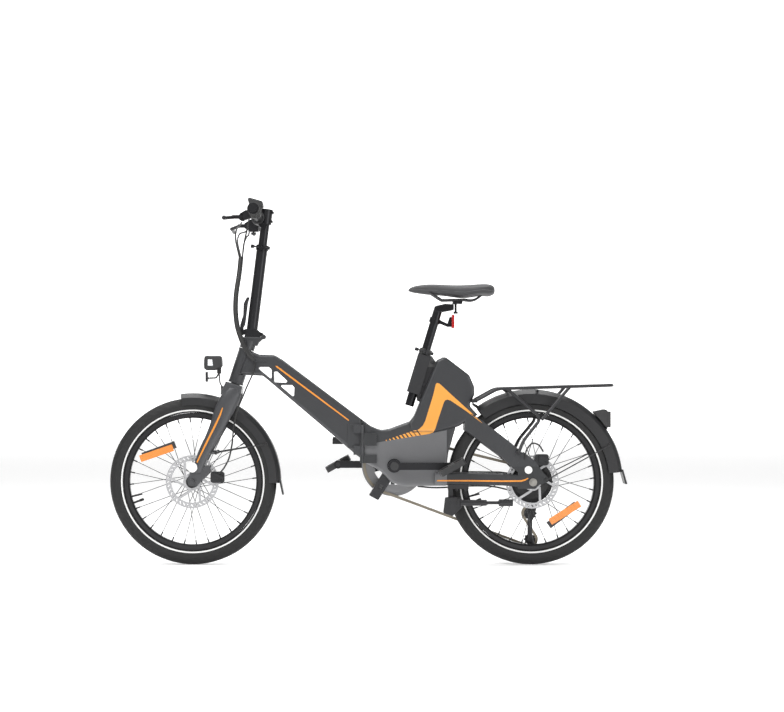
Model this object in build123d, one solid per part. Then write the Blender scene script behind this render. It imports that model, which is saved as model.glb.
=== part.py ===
"""A 20 inch folding electric bicycle, one named solid or group of solids for each physical piece.

Millimetres, +Z up. The front wheel is at -X and the left (near) side at -Y. The origin is on the ground,
midway along the bicycle, in its middle plane."""

from build123d import *
import math
import os

# ---- driving dimensions --------------------------------------------------------------------------
FRONT_AXLE_X = -533.0  # front axle, along the bicycle
WHEELBASE = 1026.0  # front axle to rear axle
TYRE_R = 253.0  # 50-406 tyre, outside radius
TYRE_SECTION_R = 25.0  # half the tyre's width
TYRE_WALL = 4.0
RIM_R = 208.0  # rim flange, outside
RIM_INNER_R = 192.0
RIM_HALF_WIDTH = 14.0
SPOKES = 32  # in each wheel
SPOKE_R = 1.0
NIPPLE_R = 2.2
ROTOR_R = 80.0
ROTOR_THICKNESS = 1.9
FRONT_ROTOR_Y = -41.0
REAR_ROTOR_Y = -53.0
AXLE_R = 5.0
FRONT_DROPOUT_Y = 50.0  # inner face, half the 100 mm hub spacing
REAR_DROPOUT_Y = 67.5  # inner face, half the 135 mm hub spacing
DROPOUT_THICKNESS = 7.0
FRONT_HUB_R = 17.0
FRONT_FLANGE_R = 24.0
MOTOR_R = 64.0
MOTOR_HALF_WIDTH = 24.0
RUNNING_CLEARANCE = 0.05  # radial, at every turning fit
SLIDE_CLEARANCE = 0.4  # between sliding or swinging neighbours

HEAD_ANGLE = 18.0  # head axis, degrees from the vertical
HEAD_BASE = (-405.0, 0.0, 549.0)  # head axis at the top of the fork crown
HEAD_TUBE_R = 23.0
STEERER_R = 14.3
HEAD_TUBE_LENGTH = 97.0
CUP_HEIGHT = 6.0

FRONT_TUBE_HALF = 29.0  # half the front tube's width
REAR_BODY_HALF = 34.0  # half the casting's width, a 68 mm bottom bracket shell
MAST_HALF = 40.0
HINGE_X = -20.0  # main hinge pin
HINGE_Y = -42.0
HINGE_PIN_R = 3.0
KNUCKLE_R = 6.7
KNUCKLE_LEVELS = (309.0, 334.3, 361.7, 400.3, 425.0)
PARTING_GAP = 0.5  # between the two frame halves when locked
LATCH_X = -9.0  # frame latch pivot, on the right of the rear half
LATCH_Y = 45.0

BB = (77.0, 301.0)  # bottom bracket axis
BB_BORE_R = 17.4
SPINDLE_R = 8.5
CRANK_LENGTH = 170.0
CRANK_Y = 64.0  # inner face of each crank
CRANK_THICKNESS = 13.0
PEDAL_Y = 88.0  # inner end of each pedal body
PEDAL_WIDTH = 92.0
PEDAL_LENGTH = 82.0
PEDAL_THICKNESS = 18.0
PEDAL_TILT = 29.0
PEDAL_SPINDLE_R = 6.0

CHAIN_PITCH = 12.7
CHAIN_Y = 50.0
CHAIN_HALF_HEIGHT = 4.0
CHAIN_HALF_WIDTH = 3.4
CHAINRING_TEETH = 44
DRIVEN_COG_TEETH = 18
COG_TEETH = (34, 24, 22, 20, 18, 16, 14)
COG_SPACING = 4.8
GUIDE_PULLEY_TEETH = 11
TENSION_PULLEY_TEETH = 10
PULLEY_OFFSETS = ((3.0, -101.3), (3.0, -180.8))  # from the rear axle
GUARD_R = 97.0

POST_ANGLE = 7.07  # handlepost, degrees from the vertical
POST_FOOT = (-357.0, 0.0, 691.5)  # handlepost axis at the stem hinge's parting plane
POST_OUTER_R = 16.8
POST_INNER_R = 13.4
POST_COLLAR_UP = 268.0  # up the post from its foot
POST_TOP_UP = 391.0
POST_INSERTION = 170.0
STEM_PIN = (-319.4, 691.4)
STEM_PIN_R = 4.0
STEM_KNUCKLE_R = 7.5
BAR = (-336.0, 1053.0)
BAR_HALF_LENGTH = 300.0
BAR_R = 11.1
BAR_CENTRE_R = 15.9
GRIP_R = 17.0
GRIP_LENGTH = 125.0

SEAT_ANGLE = 16.8  # seatpost, degrees from the vertical
SEAT_AXIS = (179.0, 0.0, 666.0)
SEATPOST_R = 13.6
SEATPOST_BELOW = 192.0  # down the axis from SEAT_AXIS to the lower end
SEATPOST_ABOVE = 118.0
SEAT_BLOCK_TOP = -31.0  # along the axis from SEAT_AXIS
SEAT_BLOCK_BOTTOM = -152.0
SEAT_BLOCK_HALF = 19.5
SADDLE_HALF_WIDTH = 74.0
RAIL_R = 3.5

BATTERY_ANGLE = 20.0  # direction the battery slides, degrees from the vertical
BATTERY_CORNER = (207.5, 621.5)  # front top corner of the mast
BATTERY_HALF = 32.0
BATTERY_FRONT = 11.0  # from the mast's front corner, across the slide
BATTERY_BACK = 118.0
BATTERY_FOOT = -172.0

GUARD_THICKNESS = 1.6
GUARD_HALF = 30.0
FRONT_GUARD_R = 268.0
REAR_GUARD_R = 279.6
FRONT_SKIRT_R = 231.0
REAR_SKIRT_R = 236.0

RACK_R = 5.0
RACK_HALF = 66.0
KICKSTAND_PIVOT = (246.0, -52.0, 195.0)

REAR_AXLE_X = FRONT_AXLE_X + WHEELBASE
AXLE_Z = TYRE_R
SIDE = Plane(origin=(0, 0, 0), x_dir=(1, 0, 0), z_dir=(0, -1, 0))  # local x is X, local y is Z


# ---- helpers ------------------------------------------------------------------------------------
def lean(angle):
    """Unit vector that leans back from the vertical by the angle."""
    return Vector(math.sin(math.radians(angle)), 0, math.cos(math.radians(angle)))


HEAD_UP = lean(HEAD_ANGLE)
POST_UP = lean(POST_ANGLE)
SEAT_UP = lean(SEAT_ANGLE)
BATTERY_UP = lean(BATTERY_ANGLE)


def along(start, direction, distance):
    return Vector(*start) + direction * distance


def rounded(points):
    """Closed outline through (x, z) or (x, z, corner radius) points."""
    sketch = make_face(Polyline(*[(p[0], p[1]) for p in points], close=True).edges())
    for point in points:
        if len(point) > 2:
            corner = sketch.vertices().sort_by_distance((point[0], point[1], 0))[0]
            sketch = fillet(corner, point[2])
    return sketch


def plate(points, y_low, y_high, edge=0.0):
    """Side outline given a width, with its two rims rounded by edge."""
    body = extrude(SIDE.offset(-y_high) * rounded(points), amount=y_high - y_low)
    if edge:
        rims = body.edges().filter_by_position(Axis.Y, y_low - 0.01, y_low + 0.01)
        rims += body.edges().filter_by_position(Axis.Y, y_high - 0.01, y_high + 0.01)
        body = fillet(rims, edge)
    return body


def rod(start, end, radius):
    start, end = Vector(*start), Vector(*end)
    frame = Plane(origin=start, z_dir=end - start)
    return frame * Cylinder(radius, (end - start).length, align=(Align.CENTER, Align.CENTER, Align.MIN))


def cross_rod(x, z, radius, y_low, y_high):
    return rod((x, y_low, z), (x, y_high, z), radius)


def collar(x, z, outer, inner, y_low, y_high):
    return cross_rod(x, z, outer, y_low, y_high) - cross_rod(x, z, inner, y_low - 1, y_high + 1)


def block(x, y, z):
    """Box from three (low, high) pairs."""
    low = (x[0], y[0], z[0])
    return Pos(*low) * Box(x[1] - x[0], y[1] - y[0], z[1] - z[0], align=(Align.MIN,) * 3)


def both_sides(shape):
    return shape + mirror(shape, Plane.XZ)


def bent_tube(points, radius, radii):
    path = FilletPolyline(*points, radius=radii)
    return sweep(Plane(origin=path @ 0, z_dir=path % 0) * Circle(radius), path)


def cable(points, radius):
    """Round cable: straight runs joined by arcs as large as the shorter neighbouring run allows."""
    corners = [Vector(*p) for p in points]
    radii = []
    for before, here, after in zip(corners, corners[1:], corners[2:]):
        turn = (here - before).get_angle(after - here)
        shorter = min((here - before).length, (after - here).length)
        radii.append(0.45 * shorter / math.tan(math.radians(turn / 2)))
    print("cable radii", [round(r) for r in radii])
    return bent_tube(points, radius, radii)


def turned(points, x, z, y=0.0):
    """Solid of revolution about the cross axis at (x, z), from (y, radius) points."""
    frame = Plane(origin=(x, y, z), x_dir=(0, 1, 0), z_dir=(1, 0, 0))
    return revolve(frame * rounded(points), Axis((x, y, z), (0, 1, 0)))


def turned_part(sketch_points, x, z, start, sweep_angle):
    """As turned, but from start degrees (0 straight up, 90 rearwards) over sweep_angle."""
    a = math.radians(start)
    frame = Plane(origin=(x, 0, z), x_dir=(0, 1, 0), z_dir=(math.cos(a), 0, -math.sin(a)))
    return revolve(frame * rounded(sketch_points), Axis((x, 0, z), (0, 1, 0)), sweep_angle)


def pitch_radius(teeth):
    return CHAIN_PITCH / (2 * math.sin(math.pi / teeth))


def sprocket(x, z, teeth, y, thickness=1.8):
    """Toothed disc: low teeth that stay inside the chain's pitch line."""
    root = pitch_radius(teeth) - CHAIN_HALF_HEIGHT - 0.3
    tip = pitch_radius(teeth) - 1.2
    points = []
    for i in range(teeth):
        for share, radius in ((-0.32, root), (-0.14, tip), (0.14, tip), (0.32, root)):
            a = 2 * math.pi * (i + share) / teeth
            points.append((x + radius * math.cos(a), z + radius * math.sin(a)))
    return plate(points, y - thickness / 2, y + thickness / 2)


def wheel_angle(degrees):
    return math.cos(math.radians(degrees)), math.sin(math.radians(degrees))


# ---- wheels -------------------------------------------------------------------------------------
def tyre(x):
    centre = TYRE_R - TYRE_SECTION_R
    frame = Plane(origin=(x, 0, AXLE_Z), x_dir=(0, 1, 0), z_dir=(1, 0, 0))
    section = Pos(0, centre) * (Circle(TYRE_SECTION_R) - Circle(TYRE_SECTION_R - TYRE_WALL))
    section -= Pos(0, RIM_R / 2) * Rectangle(4 * TYRE_SECTION_R, RIM_R)
    return revolve(frame * section, Axis((x, 0, AXLE_Z), (0, 1, 0)))


def rim(x):
    w = RIM_HALF_WIDTH
    points = [(-9, RIM_INNER_R), (9, RIM_INNER_R), (w, RIM_INNER_R + 5), (w, RIM_R), (w - 2.5, RIM_R)]
    points += [(w - 2.5, RIM_R - 5), (2.5 - w, RIM_R - 5), (2.5 - w, RIM_R), (-w, RIM_R), (-w, RIM_INNER_R + 5)]
    body = turned(points, x, AXLE_Z)
    hollow = [(-8, RIM_INNER_R + 2), (8, RIM_INNER_R + 2), (w - 3, RIM_INNER_R + 6), (w - 4.5, RIM_R - 7)]
    hollow += [(4.5 - w, RIM_R - 7), (3 - w, RIM_INNER_R + 6)]
    body -= turned(hollow, x, AXLE_Z)
    a, b = wheel_angle(194)
    return body + rod((x + 193 * a, 0, AXLE_Z + 193 * b), (x + 160 * a, 0, AXLE_Z + 160 * b), 3.0)


def spokes(x, flange_r, flange_y, lead):
    """Half the spokes lead and half trail, their heads on alternate faces of the flange."""
    solids = []
    for i in range(SPOKES):
        side = 1 if i % 2 else -1
        trailing = 1 if (i // 2) % 2 else -1
        rim_angle = 360 * i / SPOKES + 3
        a, b = wheel_angle(rim_angle)
        c, d = wheel_angle(rim_angle + trailing * lead)
        heads = side * (flange_y + trailing * 2.2)
        foot = Vector(x + (flange_r - 3) * c, heads, AXLE_Z + (flange_r - 3) * d)
        top = Vector(x + (RIM_INNER_R + 1) * a, side * 3, AXLE_Z + (RIM_INNER_R + 1) * b)
        direction = (top - foot).normalized()
        spoke = rod(foot, top, SPOKE_R) + rod(top - direction * 13, top, NIPPLE_R)
        solids.append(spoke.solid())
    return Compound(solids)


def wheel_reflector(x, angle, tilt):
    a, b = wheel_angle(angle)
    return Pos(x + 139 * a, -18.5, AXLE_Z + 139 * b) * Rot(0, -tilt, 0) * Box(106, 7, 22)


def rotor(x, y):
    """Brake disc: braking ring with slots, six arms and a six-bolt carrier."""
    half = ROTOR_THICKNESS / 2
    disc = collar(x, AXLE_Z, ROTOR_R, ROTOR_R - 17, y - half, y + half)
    face = Plane(origin=(x, y + 3, AXLE_Z), x_dir=(1, 0, 0), z_dir=(0, -1, 0))
    slots = Sketch() + [Rot(0, 0, 10 * i) * Pos(ROTOR_R - 8, 0) * Rot(0, 0, 35) * SlotOverall(9, 3.4)
                        for i in range(36)]
    cutter = extrude(face * slots, amount=6)
    disc -= cutter
    disc += collar(x, AXLE_Z, 27, 19, y - half, y + half)
    for i in range(6):
        arm = Rot(0, 60 * i, 0) * Pos(45, 0, 0) * Rot(0, 28, 0) * Box(48, ROTOR_THICKNESS, 7)
        disc += Pos(x, y, AXLE_Z) * arm
    return disc


def front_hub():
    x, inner = FRONT_AXLE_X, AXLE_R + RUNNING_CLEARANCE
    w = FRONT_DROPOUT_Y - SLIDE_CLEARANCE
    points = [(-w, inner), (-w, 9), (-43, 9), (-43, 18.8), (-40, 18.8), (-40, 27), (-36, 27), (-36, 15)]
    points += [(-31.15, 15), (-31.15, FRONT_FLANGE_R), (-28.85, FRONT_FLANGE_R), (-28.85, FRONT_HUB_R)]
    points += [(28.85, FRONT_HUB_R), (28.85, FRONT_FLANGE_R), (31.15, FRONT_FLANGE_R), (31.15, 12), (w, 9)]
    points += [(w, inner)]
    hub = turned(points, x, AXLE_Z)
    return hub


def rear_hub_motor():
    """Motor shell with the rotor carrier on its left and the freewheel body on its right."""
    w, m = REAR_DROPOUT_Y - SLIDE_CLEARANCE, MOTOR_HALF_WIDTH
    inner = AXLE_R + 1 + RUNNING_CLEARANCE
    points = [(-w, inner), (-w, 12), (-55, 12), (-55, 18.8), (-52, 18.8), (-52, 27), (-46, 27), (-34, 40), (-m, 52)]
    points += [(-m - 1.2, MOTOR_R), (2.4 - m, MOTOR_R), (2.4 - m, MOTOR_R - 4), (m - 2.4, MOTOR_R - 4)]
    points += [(m - 2.4, MOTOR_R), (m + 1.2, MOTOR_R), (m, 48), (m + 4, 30), (m + 4, 17), (w - 4, 17), (w - 4, inner)]
    shell = turned(points, REAR_AXLE_X, AXLE_Z)
    cavity = [(-20, inner + 2), (-20, MOTOR_R - 9), (19, MOTOR_R - 9), (19, inner + 2)]
    return shell - turned(cavity, REAR_AXLE_X, AXLE_Z)


def cassette():
    """Seven-speed freewheel cluster on the hub's right side."""
    bore = 17 + RUNNING_CLEARANCE
    first = CHAIN_Y - COG_TEETH.index(DRIVEN_COG_TEETH) * COG_SPACING
    solid = collar(REAR_AXLE_X, AXLE_Z, 22, bore, first - 0.9, first + 6 * COG_SPACING + 2)
    for i, teeth in enumerate(COG_TEETH):
        cog = sprocket(REAR_AXLE_X, AXLE_Z, teeth, first + i * COG_SPACING)
        solid += cog - cross_rod(REAR_AXLE_X, AXLE_Z, 20, 0, 90)
    return solid


# ---- rear frame half ----------------------------------------------------------------------------
def battery_point(across, up):
    """Side-view point from distances across and along the battery's slide."""
    c, s = math.cos(math.radians(BATTERY_ANGLE)), math.sin(math.radians(BATTERY_ANGLE))
    return BATTERY_CORNER[0] + across * c + up * s, BATTERY_CORNER[1] - across * s + up * c


def stay(stations):
    """Tapered member through (x, z low, z high, y inner, y outer) stations, on both sides."""
    sections = []
    for x, z_low, z_high, y_in, y_out in stations:
        frame = Plane(origin=(x, (y_in + y_out) / 2, (z_low + z_high) / 2), x_dir=(0, 1, 0), z_dir=(1, 0, 0))
        size = min(y_out - y_in, z_high - z_low)
        sections.append(frame * RectangleRounded(y_out - y_in, z_high - z_low, size * 0.3))
    return both_sides(loft(sections, ruled=True))


def knuckle(level, reach):
    """Hinge barrel between two levels, with its tab to the frame half on the reach side."""
    low, high = KNUCKLE_LEVELS[level] + 0.2, KNUCKLE_LEVELS[level + 1] - 0.2
    barrel = rod((HINGE_X, HINGE_Y, low), (HINGE_X, HINGE_Y, high), KNUCKLE_R)
    x = (HINGE_X, reach) if reach > HINGE_X else (reach, HINGE_X)
    tab = block(x, (HINGE_Y - 4, HINGE_Y + 4), (low, high))
    inner = (HINGE_X + PARTING_GAP / 2, reach) if reach > HINGE_X else (reach, HINGE_X - PARTING_GAP / 2)
    neck = block(inner, (HINGE_Y + 3, -FRONT_TUBE_HALF + 2), (low, high))
    bore = rod((HINGE_X, HINGE_Y, low - 1), (HINGE_X, HINGE_Y, high + 1), HINGE_PIN_R + RUNNING_CLEARANCE)
    return barrel + tab + neck - bore


def rear_frame():
    x0 = HINGE_X + PARTING_GAP / 2
    rx, az = REAR_AXLE_X, AXLE_Z
    lower = plate([
        (x0, 440.5), (5.5, 421.6, 30), (36.5, 408.5, 40), (62, 412.5, 40), (140, 441), (200, 500), (262, 500),
        (263, 414.6), (241, 340), (234.5, 290), (246, 282), (246, 240, 6), (104.9, 239, 40), (68, 250.4, 20),
        (35, 285.3, 60), (-8, 309, 30), (x0, 316)], -REAR_BODY_HALF, REAR_BODY_HALF, 8)
    mast = plate([
        (120.5, 431), (136.9, 451.1, 50), (207.5, 621.5, 12), (230.9, 631.5, 14), (303.9, 575.9, 16),
        (319.4, 540.9, 20), (319.4, 514.4, 16), (304, 483.7, 14), (330, 455), (272, 419.8), (200, 400), (130, 400)],
        -MAST_HALF, MAST_HALF, 9)
    frame = lower + mast
    cavity = plate([battery_point(*p) for p in (
        (BATTERY_FRONT - 1, BATTERY_FOOT - 1), (BATTERY_BACK + 1, BATTERY_FOOT - 1), (BATTERY_BACK + 1, -97),
        (160, -97), (160, 60), (BATTERY_FRONT - 1, 60))], -BATTERY_HALF - 0.6, BATTERY_HALF + 0.6)
    frame -= cavity
    wall = REAR_BODY_HALF - 6
    frame -= block((8, 232), (-wall, wall), (332, 398))  # controller bay
    frame -= block((112, 226), (-wall, wall), (250, 324))  # hollow behind the bottom bracket
    frame += stay([
        (200, 241, 282, 20, 46), (300, 243, 282, 32, 50), (rx - 90, 243, 280, 57.5, 74), (rx - 28, 238, 272, 67.5, 74.5)])
    frame += stay([
        (290, 408, 472, 22, 39), (344, 367.5, 437, 34, 50), (400, 327, 393, 52, 66),
        (rx - 55, 290, 362, 62, 74), (rx - 14, 262, 326, 67.5, 74.5)])
    frame -= cross_rod(rx, az, TYRE_R + 7, -GUARD_HALF - 0.5, GUARD_HALF + 0.5)  # room for the tyre
    outer = REAR_DROPOUT_Y + DROPOUT_THICKNESS
    dropout = plate([
        (rx - 45, az - 20), (rx + 8, az - 20, 10), (rx + 18, az - 8, 10), (rx + 46, az + 1, 6), (rx + 46, az + 13, 6),
        (rx + 30, az + 30, 6), (rx + 8, az + 62, 8), (rx - 30, az + 92), (rx - 45, az + 60)], REAR_DROPOUT_Y, outer)
    dropout -= cross_rod(rx, az, AXLE_R + 1.05, REAR_DROPOUT_Y - 5, outer + 5)
    frame += both_sides(dropout)
    frame -= both_sides(cross_rod(rx, az, AXLE_R + 1.05, REAR_DROPOUT_Y - 5, outer + 5))
    frame += cross_rod(*BB, 24, -REAR_BODY_HALF, REAR_BODY_HALF)
    frame -= cross_rod(*BB, BB_BORE_R + RUNNING_CLEARANCE, -50, 50)
    frame += knuckle(0, 24) + knuckle(2, 24)
    frame += block((x0, 14), (33, LATCH_Y - 6.5), (353, 405))  # seat and ears of the frame latch
    for level in (353, 398):
        frame += block((LATCH_X - 7, LATCH_X + 7), (33, LATCH_Y + 5.5), (level, level + 7))
    frame += rod((LATCH_X, LATCH_Y, 353), (LATCH_X, LATCH_Y, 405), 3)
    pin = rod((HINGE_X, HINGE_Y, KNUCKLE_LEVELS[0]), (HINGE_X, HINGE_Y, KNUCKLE_LEVELS[-1] + 2), HINGE_PIN_R)
    return Compound([frame.solid(), pin.solid()])


def bottom_bracket():
    body = cross_rod(*BB, BB_BORE_R, -REAR_BODY_HALF, REAR_BODY_HALF)
    lips = both_sides(cross_rod(*BB, 21, REAR_BODY_HALF, REAR_BODY_HALF + 3))
    return body + lips - cross_rod(*BB, SPINDLE_R + RUNNING_CLEARANCE, -60, 60)


def motor_controller():
    return block((128, 224), (-25.8, 25.8), (332, 370))


def battery_pack():
    """Case that slides up out of the mast, with its top and rear cover."""
    foot, front, back = BATTERY_FOOT, BATTERY_FRONT, BATTERY_BACK
    side = [(front, foot), (back, foot), (back, -95), (136, -95), (140.5, -63), (131, -38.5), (105, -11.5)]
    side += [(19, 15), (front, 12)]
    pack = plate([battery_point(*p) for p in side], -BATTERY_HALF, BATTERY_HALF)
    return pack - cross_rod(*LOCK, 6 + RUNNING_CLEARANCE, -BATTERY_HALF - 1, -BATTERY_HALF + 8)


LOCK = (309.0, 541.0)


def battery_lock():
    """Key barrel on the left of the rear cover."""
    barrel = cross_rod(*LOCK, 6, -BATTERY_HALF - 0.4, -BATTERY_HALF + 7.9)
    return barrel - block((LOCK[0] - 0.7, LOCK[0] + 0.7), (-BATTERY_HALF - 1, -BATTERY_HALF + 1), (LOCK[1] - 4, LOCK[1] + 4))


def seat_frame(distance):
    return Plane(origin=along(SEAT_AXIS, SEAT_UP, distance), x_dir=(0, 1, 0), z_dir=SEAT_UP)


def clamp_ring(frame, tube_r, height):
    """Split ring with two ears on its left and a bolt that runs fore and aft between them."""
    outer = tube_r + 5.5
    ring = Cylinder(outer, height) + Pos(-outer - 1, 0, 0) * Box(14, 16, height * 0.7)
    ring -= Cylinder(tube_r + RUNNING_CLEARANCE, height + 2)
    ring -= Pos(-outer - 2, 0, 0) * Box(22, 2, height + 2)
    bolt = Pos(-outer - 4, 0, 0) * Rot(90, 0, 0) * Cylinder(2.5, 45.6)
    nut = Pos(-outer - 4, -21, 0) * Rot(90, 0, 0) * Cylinder(5, 7)
    ring -= Pos(-outer - 4, 0, 0) * Rot(90, 0, 0) * Cylinder(2.55, 60)
    return frame * ring, frame * (bolt + nut)


def seat_tube_block():
    """Clamp block that carries the seatpost, bolted to the front of the mast, with its collar and bolts."""
    length = SEAT_BLOCK_TOP - SEAT_BLOCK_BOTTOM
    body = seat_frame(SEAT_BLOCK_BOTTOM) * Box(44, 2 * SEAT_BLOCK_HALF, length, align=(Align.CENTER, Align.CENTER, Align.MIN))
    strip = plate([(190, 636, 4), (205, 614, 4), (160, 492, 3), (148, 497, 3), (146, 512), (178, 620)], -15, 15)
    body += strip
    body -= rod(along(SEAT_AXIS, SEAT_UP, -200), along(SEAT_AXIS, SEAT_UP, 60), SEATPOST_R + RUNNING_CLEARANCE)
    body -= MAST
    solids = [body.solids().sort_by(SortBy.VOLUME)[-1]]
    ring, bolt = clamp_ring(seat_frame(SEAT_BLOCK_TOP + 10), SEATPOST_R, 18)
    solids += [ring.solid(), bolt.solid()]
    for x, z in ((194, 613), (168, 548), (154.5, 515)):
        solids.append(both_sides(cross_rod(x, z, 5.5, 15, 19)).solids()[0])
        solids.append(both_sides(cross_rod(x, z, 5.5, 15, 19)).solids()[1])
    return Compound(solids)


def qr_lever(frame, tube_r, length):
    """Quick-release lever on the front end of a clamp ring's bolt, lying across the front of the tube."""
    ear = -tube_r - 5.5 - 4
    hub = Pos(ear, 28.5, 0) * Cylinder(5.5, 10)
    arm = Pos(ear + length / 2, 31.5, 0) * Box(length, 4, 8)
    return frame * (hub + arm)


def seatpost():
    foot, top = along(SEAT_AXIS, SEAT_UP, -SEATPOST_BELOW), along(SEAT_AXIS, SEAT_UP, SEATPOST_ABOVE)
    post = rod(foot, top, SEATPOST_R) - rod(foot - SEAT_UP * 2, top - SEAT_UP * 12, SEATPOST_R - 2.2)
    head = plate([(199, 768, 4), (201, 785, 6), (232, 792, 3), (259, 790.5, 3), (259, 773, 3), (222, 766)], -15, 15, 3)
    post += head - rod(foot, along(SEAT_AXIS, SEAT_UP, 98), SEATPOST_R - 0.2)
    upper_clamp = plate([(254, 791.2), (284, 791.2), (284, 803, 3), (258, 805, 3)], -25, 25)
    bolt = rod((265, 0, 762), (265, 0, 791.1), 3.5) + rod((265, 0, 762), (265, 0, 768), 7)
    clamp = upper_clamp
    for y in (-22, 22):
        clamp -= rod((200, y, 802.03), (300, y, 804.17), RAIL_R + 0.1)
    arm = plate([(208, 735), (240, 722), (252, 722), (252, 752, 2), (246, 752, 2), (240, 732), (210, 746)], -6, 6)
    band = seat_frame(78) * (Cylinder(SEATPOST_R + 3.5, 15) - Cylinder(SEATPOST_R, 20))
    arm -= rod(foot, top, SEATPOST_R + 1)
    lens = block((252.2, 260), (-26, 26), (718, 758))
    return Compound([post.solids().sort_by(SortBy.VOLUME)[-1], clamp.solids().sort_by(SortBy.VOLUME)[-1],
                     bolt.solid(), (band + arm).solids().sort_by(SortBy.VOLUME)[-1], lens.solid()])


RAIL = ((186, 22, 826), (222, 22, 802.5), (292, 22, 804), (320, 22, 800), (352, 22, 826))


def saddle_rails():
    left = bent_tube([(x, -y, z) for x, y, z in RAIL], RAIL_R, [14, 40, 40])
    right = bent_tube(RAIL, RAIL_R, [14, 40, 40])
    return Compound([left.solid(), right.solid()])


def saddle():
    """Plain solid of the saddle's outer shape: its side outline inside its plan."""
    side = plate([(120, 833), (126, 842, 6), (168, 855, 30), (250, 849, 60), (372, 853, 30), (383, 840, 6), (381, 818, 6),
                  (352, 812), (338, 822), (282, 806, 20), (268, 806), (214, 818), (192, 818), (150, 824, 10)], -80, 80)
    plan = make_face(Polyline((120, -14), (122, 14), (150, 20), (215, 25), (290, 52), (340, SADDLE_HALF_WIDTH),
                              (376, 66), (383, 40), (383, -40), (376, -66), (340, -SADDLE_HALF_WIDTH), (290, -52), (215, -25),
                              (150, -20), close=True).edges())
    shape = side & extrude(Plane.XY.offset(780) * plan, amount=100)
    shape -= block((150, 290), (-27, 27), (780, 812.5))
    for side in (-1, 1):
        shape -= bent_tube([(x, side * y, z) for x, y, z in RAIL], RAIL_R + 0.3, [14, 40, 40])
    return shape


# ---- drivetrain ---------------------------------------------------------------------------------
def crank_spindle():
    spindle = cross_rod(*BB, SPINDLE_R, -CRANK_Y - 11, CRANK_Y + 11)
    return spindle


def crank_arm(side):
    """Crank of one side: its big end on the spindle, its small end holding the pedal."""
    direction = 1 if side < 0 else -1
    tip = BB[0] + direction * CRANK_LENGTH
    low, high = (CRANK_Y, CRANK_Y + CRANK_THICKNESS)
    y = (low, high) if side > 0 else (-high, -low)
    x = sorted((BB[0], tip))
    arm = cross_rod(*BB, 19, *y) + cross_rod(tip, BB[1], 13, *y)
    arm += plate([(x[0], BB[1] - 11), (x[1], BB[1] - 11), (x[1], BB[1] + 11), (x[0], BB[1] + 11)], *y)
    arm -= cross_rod(*BB, SPINDLE_R, -100, 100)
    return arm - cross_rod(tip, BB[1], PEDAL_SPINDLE_R + RUNNING_CLEARANCE, -100, 100)


def crank_arms():
    right = crank_arm(1)
    for i in range(5):
        arm = Pos(BB[0], CRANK_Y - 5, BB[1]) * Rot(0, 72 * i + 20, 0) * Pos(37, 0, 0) * Box(64, 6, 12)
        right += arm - cross_rod(*BB, 18, 0, 90)
    right += collar(*BB, 20, SPINDLE_R, CRANK_Y - 8, CRANK_Y)
    right -= cross_rod(*BB, SPINDLE_R, 0, 100)
    return Compound([crank_arm(-1).solid(), right.solids().sort_by(SortBy.VOLUME)[-1]])


def chainring():
    ring = sprocket(*BB, CHAINRING_TEETH, CHAIN_Y, 2.0) - cross_rod(*BB, 62, 0, 90)
    guard = collar(*BB, GUARD_R, 72, CHAIN_Y + 4.2, CHAIN_Y + 5.8)
    for i in range(5):
        a, b = wheel_angle(72 * i - 20)
        x, z = BB[0] + 66 * a, BB[1] + 66 * b
        ring += cross_rod(x, z, 8, CHAIN_Y - 1, CHAIN_Y + 5.8)
    return ring + guard


def pedal(side):
    direction = 1 if side < 0 else -1
    x = BB[0] + direction * CRANK_LENGTH
    body = Pos(0, PEDAL_Y + PEDAL_WIDTH / 2, 0) * Box(PEDAL_LENGTH, PEDAL_WIDTH, PEDAL_THICKNESS)
    body = fillet(body.edges().filter_by(Axis.Z), 12)
    for reach in (-1, 1):
        window = Box(22, PEDAL_WIDTH - 26, 40)
        body -= Pos(reach * 21, PEDAL_Y + PEDAL_WIDTH / 2, 0) * window
    body = Rot(0, -PEDAL_TILT, 0) * body
    body += rod((0, CRANK_Y, 0), (0, PEDAL_Y + 5, 0), PEDAL_SPINDLE_R)
    body += rod((0, CRANK_Y + CRANK_THICKNESS + 0.4, 0), (0, PEDAL_Y + 5, 0), 9)
    return Pos(x, 0, BB[1]) * (body if side > 0 else mirror(body, Plane.XZ))


def tangent(a, b, side_a, side_b):
    """Tangent line between two circles (x, z, r). Each side is 1 for the left of travel, or -1."""
    ax, az, ar = a
    bx, bz, br = b
    ra, rb = side_a * ar, side_b * br
    dx, dz = bx - ax, bz - az
    distance = math.hypot(dx, dz)
    turn = math.asin((ra - rb) / distance)
    heading = math.atan2(dz, dx) - turn
    nx, nz = -math.sin(heading), math.cos(heading)
    return (ax + ra * nx, az + ra * nz), (bx + rb * nx, bz + rb * nz)


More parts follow.
